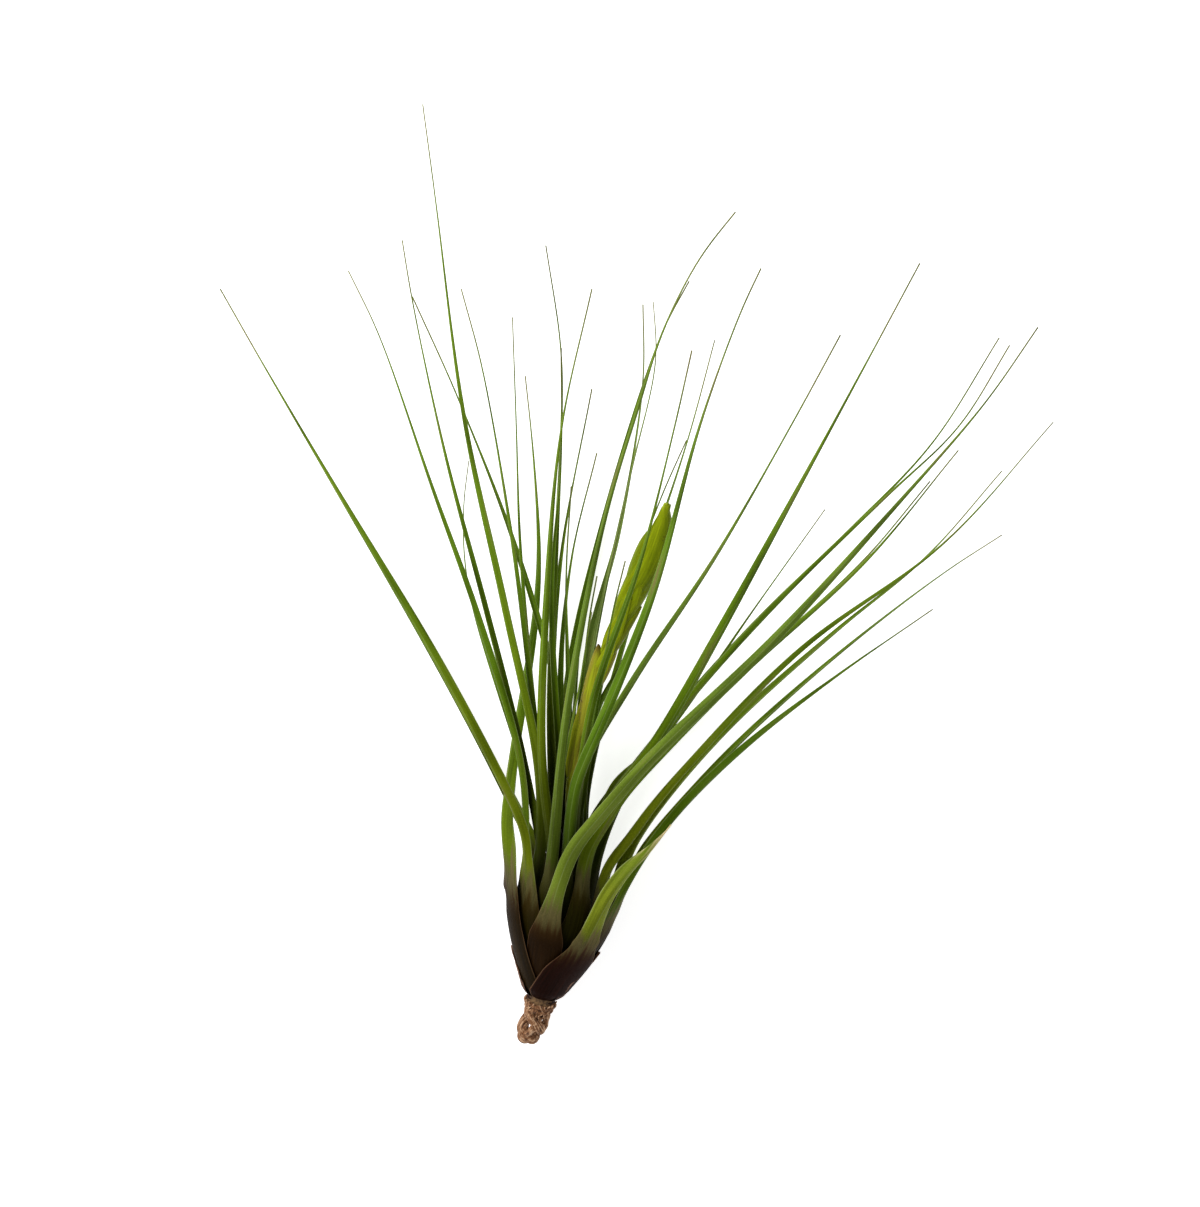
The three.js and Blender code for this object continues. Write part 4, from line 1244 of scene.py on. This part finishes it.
def root_finish():
    """Dark, brown and pale by knots of noise and the streaks, and paler on the fibres."""
    material, tree, shader = new_material("Root", Specular_IOR_Level=0.3)
    place = place_in(tree)
    tone = parts_of(tree, "where")[2]
    streaks = streaks_on(tree, place, 1.8, 0.8, 0.25)
    knots = node(tree, "TexNoise", {"Vector": place, "Scale": 0.9, "Detail": 4.0}).outputs[0]
    value = plus(tree, streaks["Fine"], 1.2, knots)
    value = plus(tree, tone, 0.25, value)
    skin = blended(tree, between(tree, value, 0.3, 0.62), ROOT_DARK, ROOT_BROWN)
    skin = blended(tree, between(tree, value, 0.58, 0.85), skin, ROOT_PALE)
    height = plus(tree, streaks["Fine"], 1.5, knots)
    rough = plus(tree, knots, 0.2, 0.62)
    finished(tree, shader, skin, rough, height, 0.6, 0.0008)
    return material


made_roots = new_piece("Roots", root_parts, ["roots"], root_finish())
print("the roots have", len(made_roots.data.vertices), "points")

# %% [markdown]
# ## The stem
#
# The sheaths hide the short woody stem. Its solid has the right shape as it is, so it isn't made
# again and only gets a finish. Its points carry no places, so the grain reads the object's own.

# %% Stem finish
STEM_GRAIN = 900.0  # cells to the metre
STEM_DARK = paint(70, 50, 32)
STEM_PALE = paint(120, 92, 60)


def stem_finish():
    """Dark and pale by a fine noise, which also gives the roughness and the relief."""
    material, tree, shader = new_material("Woody stem", Specular_IOR_Level=0.3)
    place = node(tree, "TexCoord").outputs["Object"]
    grain = node(tree, "TexNoise", {"Vector": place, "Scale": STEM_GRAIN, "Detail": 4.0}).outputs[0]
    skin = blended(tree, between(tree, grain, 0.35, 0.65), STEM_DARK, STEM_PALE)
    finished(tree, shader, skin, plus(tree, grain, 0.2, 0.7), grain, 0.5)
    return material


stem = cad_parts["stem"]
stem.data.materials.clear()
stem.data.materials.append(stem_finish())
print("the stem's finish:", stem.data.materials[0].name)

# %% [markdown]
# ## Floor, light and camera
#
# The plant lies on a plain, nearly white surface under very soft light, so that every leaf
# stands out against white and the shadows stay faint. One broad lamp from the upper left models
# the forms, a second fills in from the right, and a pale world lights the rest. The camera looks
# straight down from the eye that the paths were worked out with.

# %% Floor
FLOOR_HALF = 4  # in metres, as all that follows
FLOOR_DROP = 0.0005  # below the plant, so that the two never share a plane
FLOOR_GLOW = 0.7  # makes the surface nearly white

corners = [(x * FLOOR_HALF, y * FLOOR_HALF, 0) for x, y in ((-1, -1), (1, -1), (1, 1), (-1, 1))]
floor_mesh = bpy.data.meshes.new("Floor")
floor_mesh.from_pydata(corners, [], [(0, 1, 2, 3)])
floor = in_scene("Floor", floor_mesh)
floor.location.z = -FLOOR_DROP
floor_constants = {"Base_Color": (0.9, 0.9, 0.9, 1), "Emission_Color": (1, 1, 1, 1)}
floor_constants.update(Emission_Strength=FLOOR_GLOW, Specular_IOR_Level=0.2, Roughness=0.9)
floor_mesh.materials.append(new_material("Pale floor", **floor_constants)[0])
print("floor of", 2 * FLOOR_HALF, "m at", round(floor.location.z, 4))

# %% Light
LIT_POINT = (0.02, 0.1, 0.03)  # about the middle of the plant
LAMPS = [  # name, place, size and watts
    ("Broad lamp", (-1.2, 0.8, 1.3), 1.2, 36),
    ("Fill lamp", (1.4, -0.3, 1.2), 1.6, 4),
]
WORLD_STRENGTH = 0.4


def lamp(name, place, size, watts):
    """A square area lamp that faces the lit point."""
    light = bpy.data.lights.new(name, "AREA")
    light.size = size
    light.energy = watts
    made = in_scene(name, light)
    made.location = place
    made.rotation_euler = (Vector(LIT_POINT) - Vector(place)).to_track_quat("-Z", "Y").to_euler()


for values in LAMPS:
    lamp(*values)
world = bpy.data.worlds.new("Pale room")
world.use_nodes = True
fill(world.node_tree.nodes["Background"], {"Color": (1, 1, 1, 1), "Strength": WORLD_STRENGTH})
bpy.context.scene.world = world
seen_as = bpy.context.scene.view_settings
seen_as.view_transform, seen_as.look, seen_as.exposure = "Standard", "None", 0.0
print("lamps:", [(name, watts) for name, _, _, watts in LAMPS])

# %% Camera
SENSOR_WIDTH = 36  # millimetres, as the lens
LENS = 68.83

camera_data = bpy.data.cameras.new("Camera")
camera_data.sensor_width = SENSOR_WIDTH
camera_data.lens = LENS
camera_data.clip_start = 0.01
camera = in_scene("Camera", camera_data)
camera.location = EYE * MM
bpy.context.scene.camera = camera
print("camera at", np.round(camera.location, 4).tolist(), "m, looking straight down")

# %% The end
bpy.context.view_layer.update()
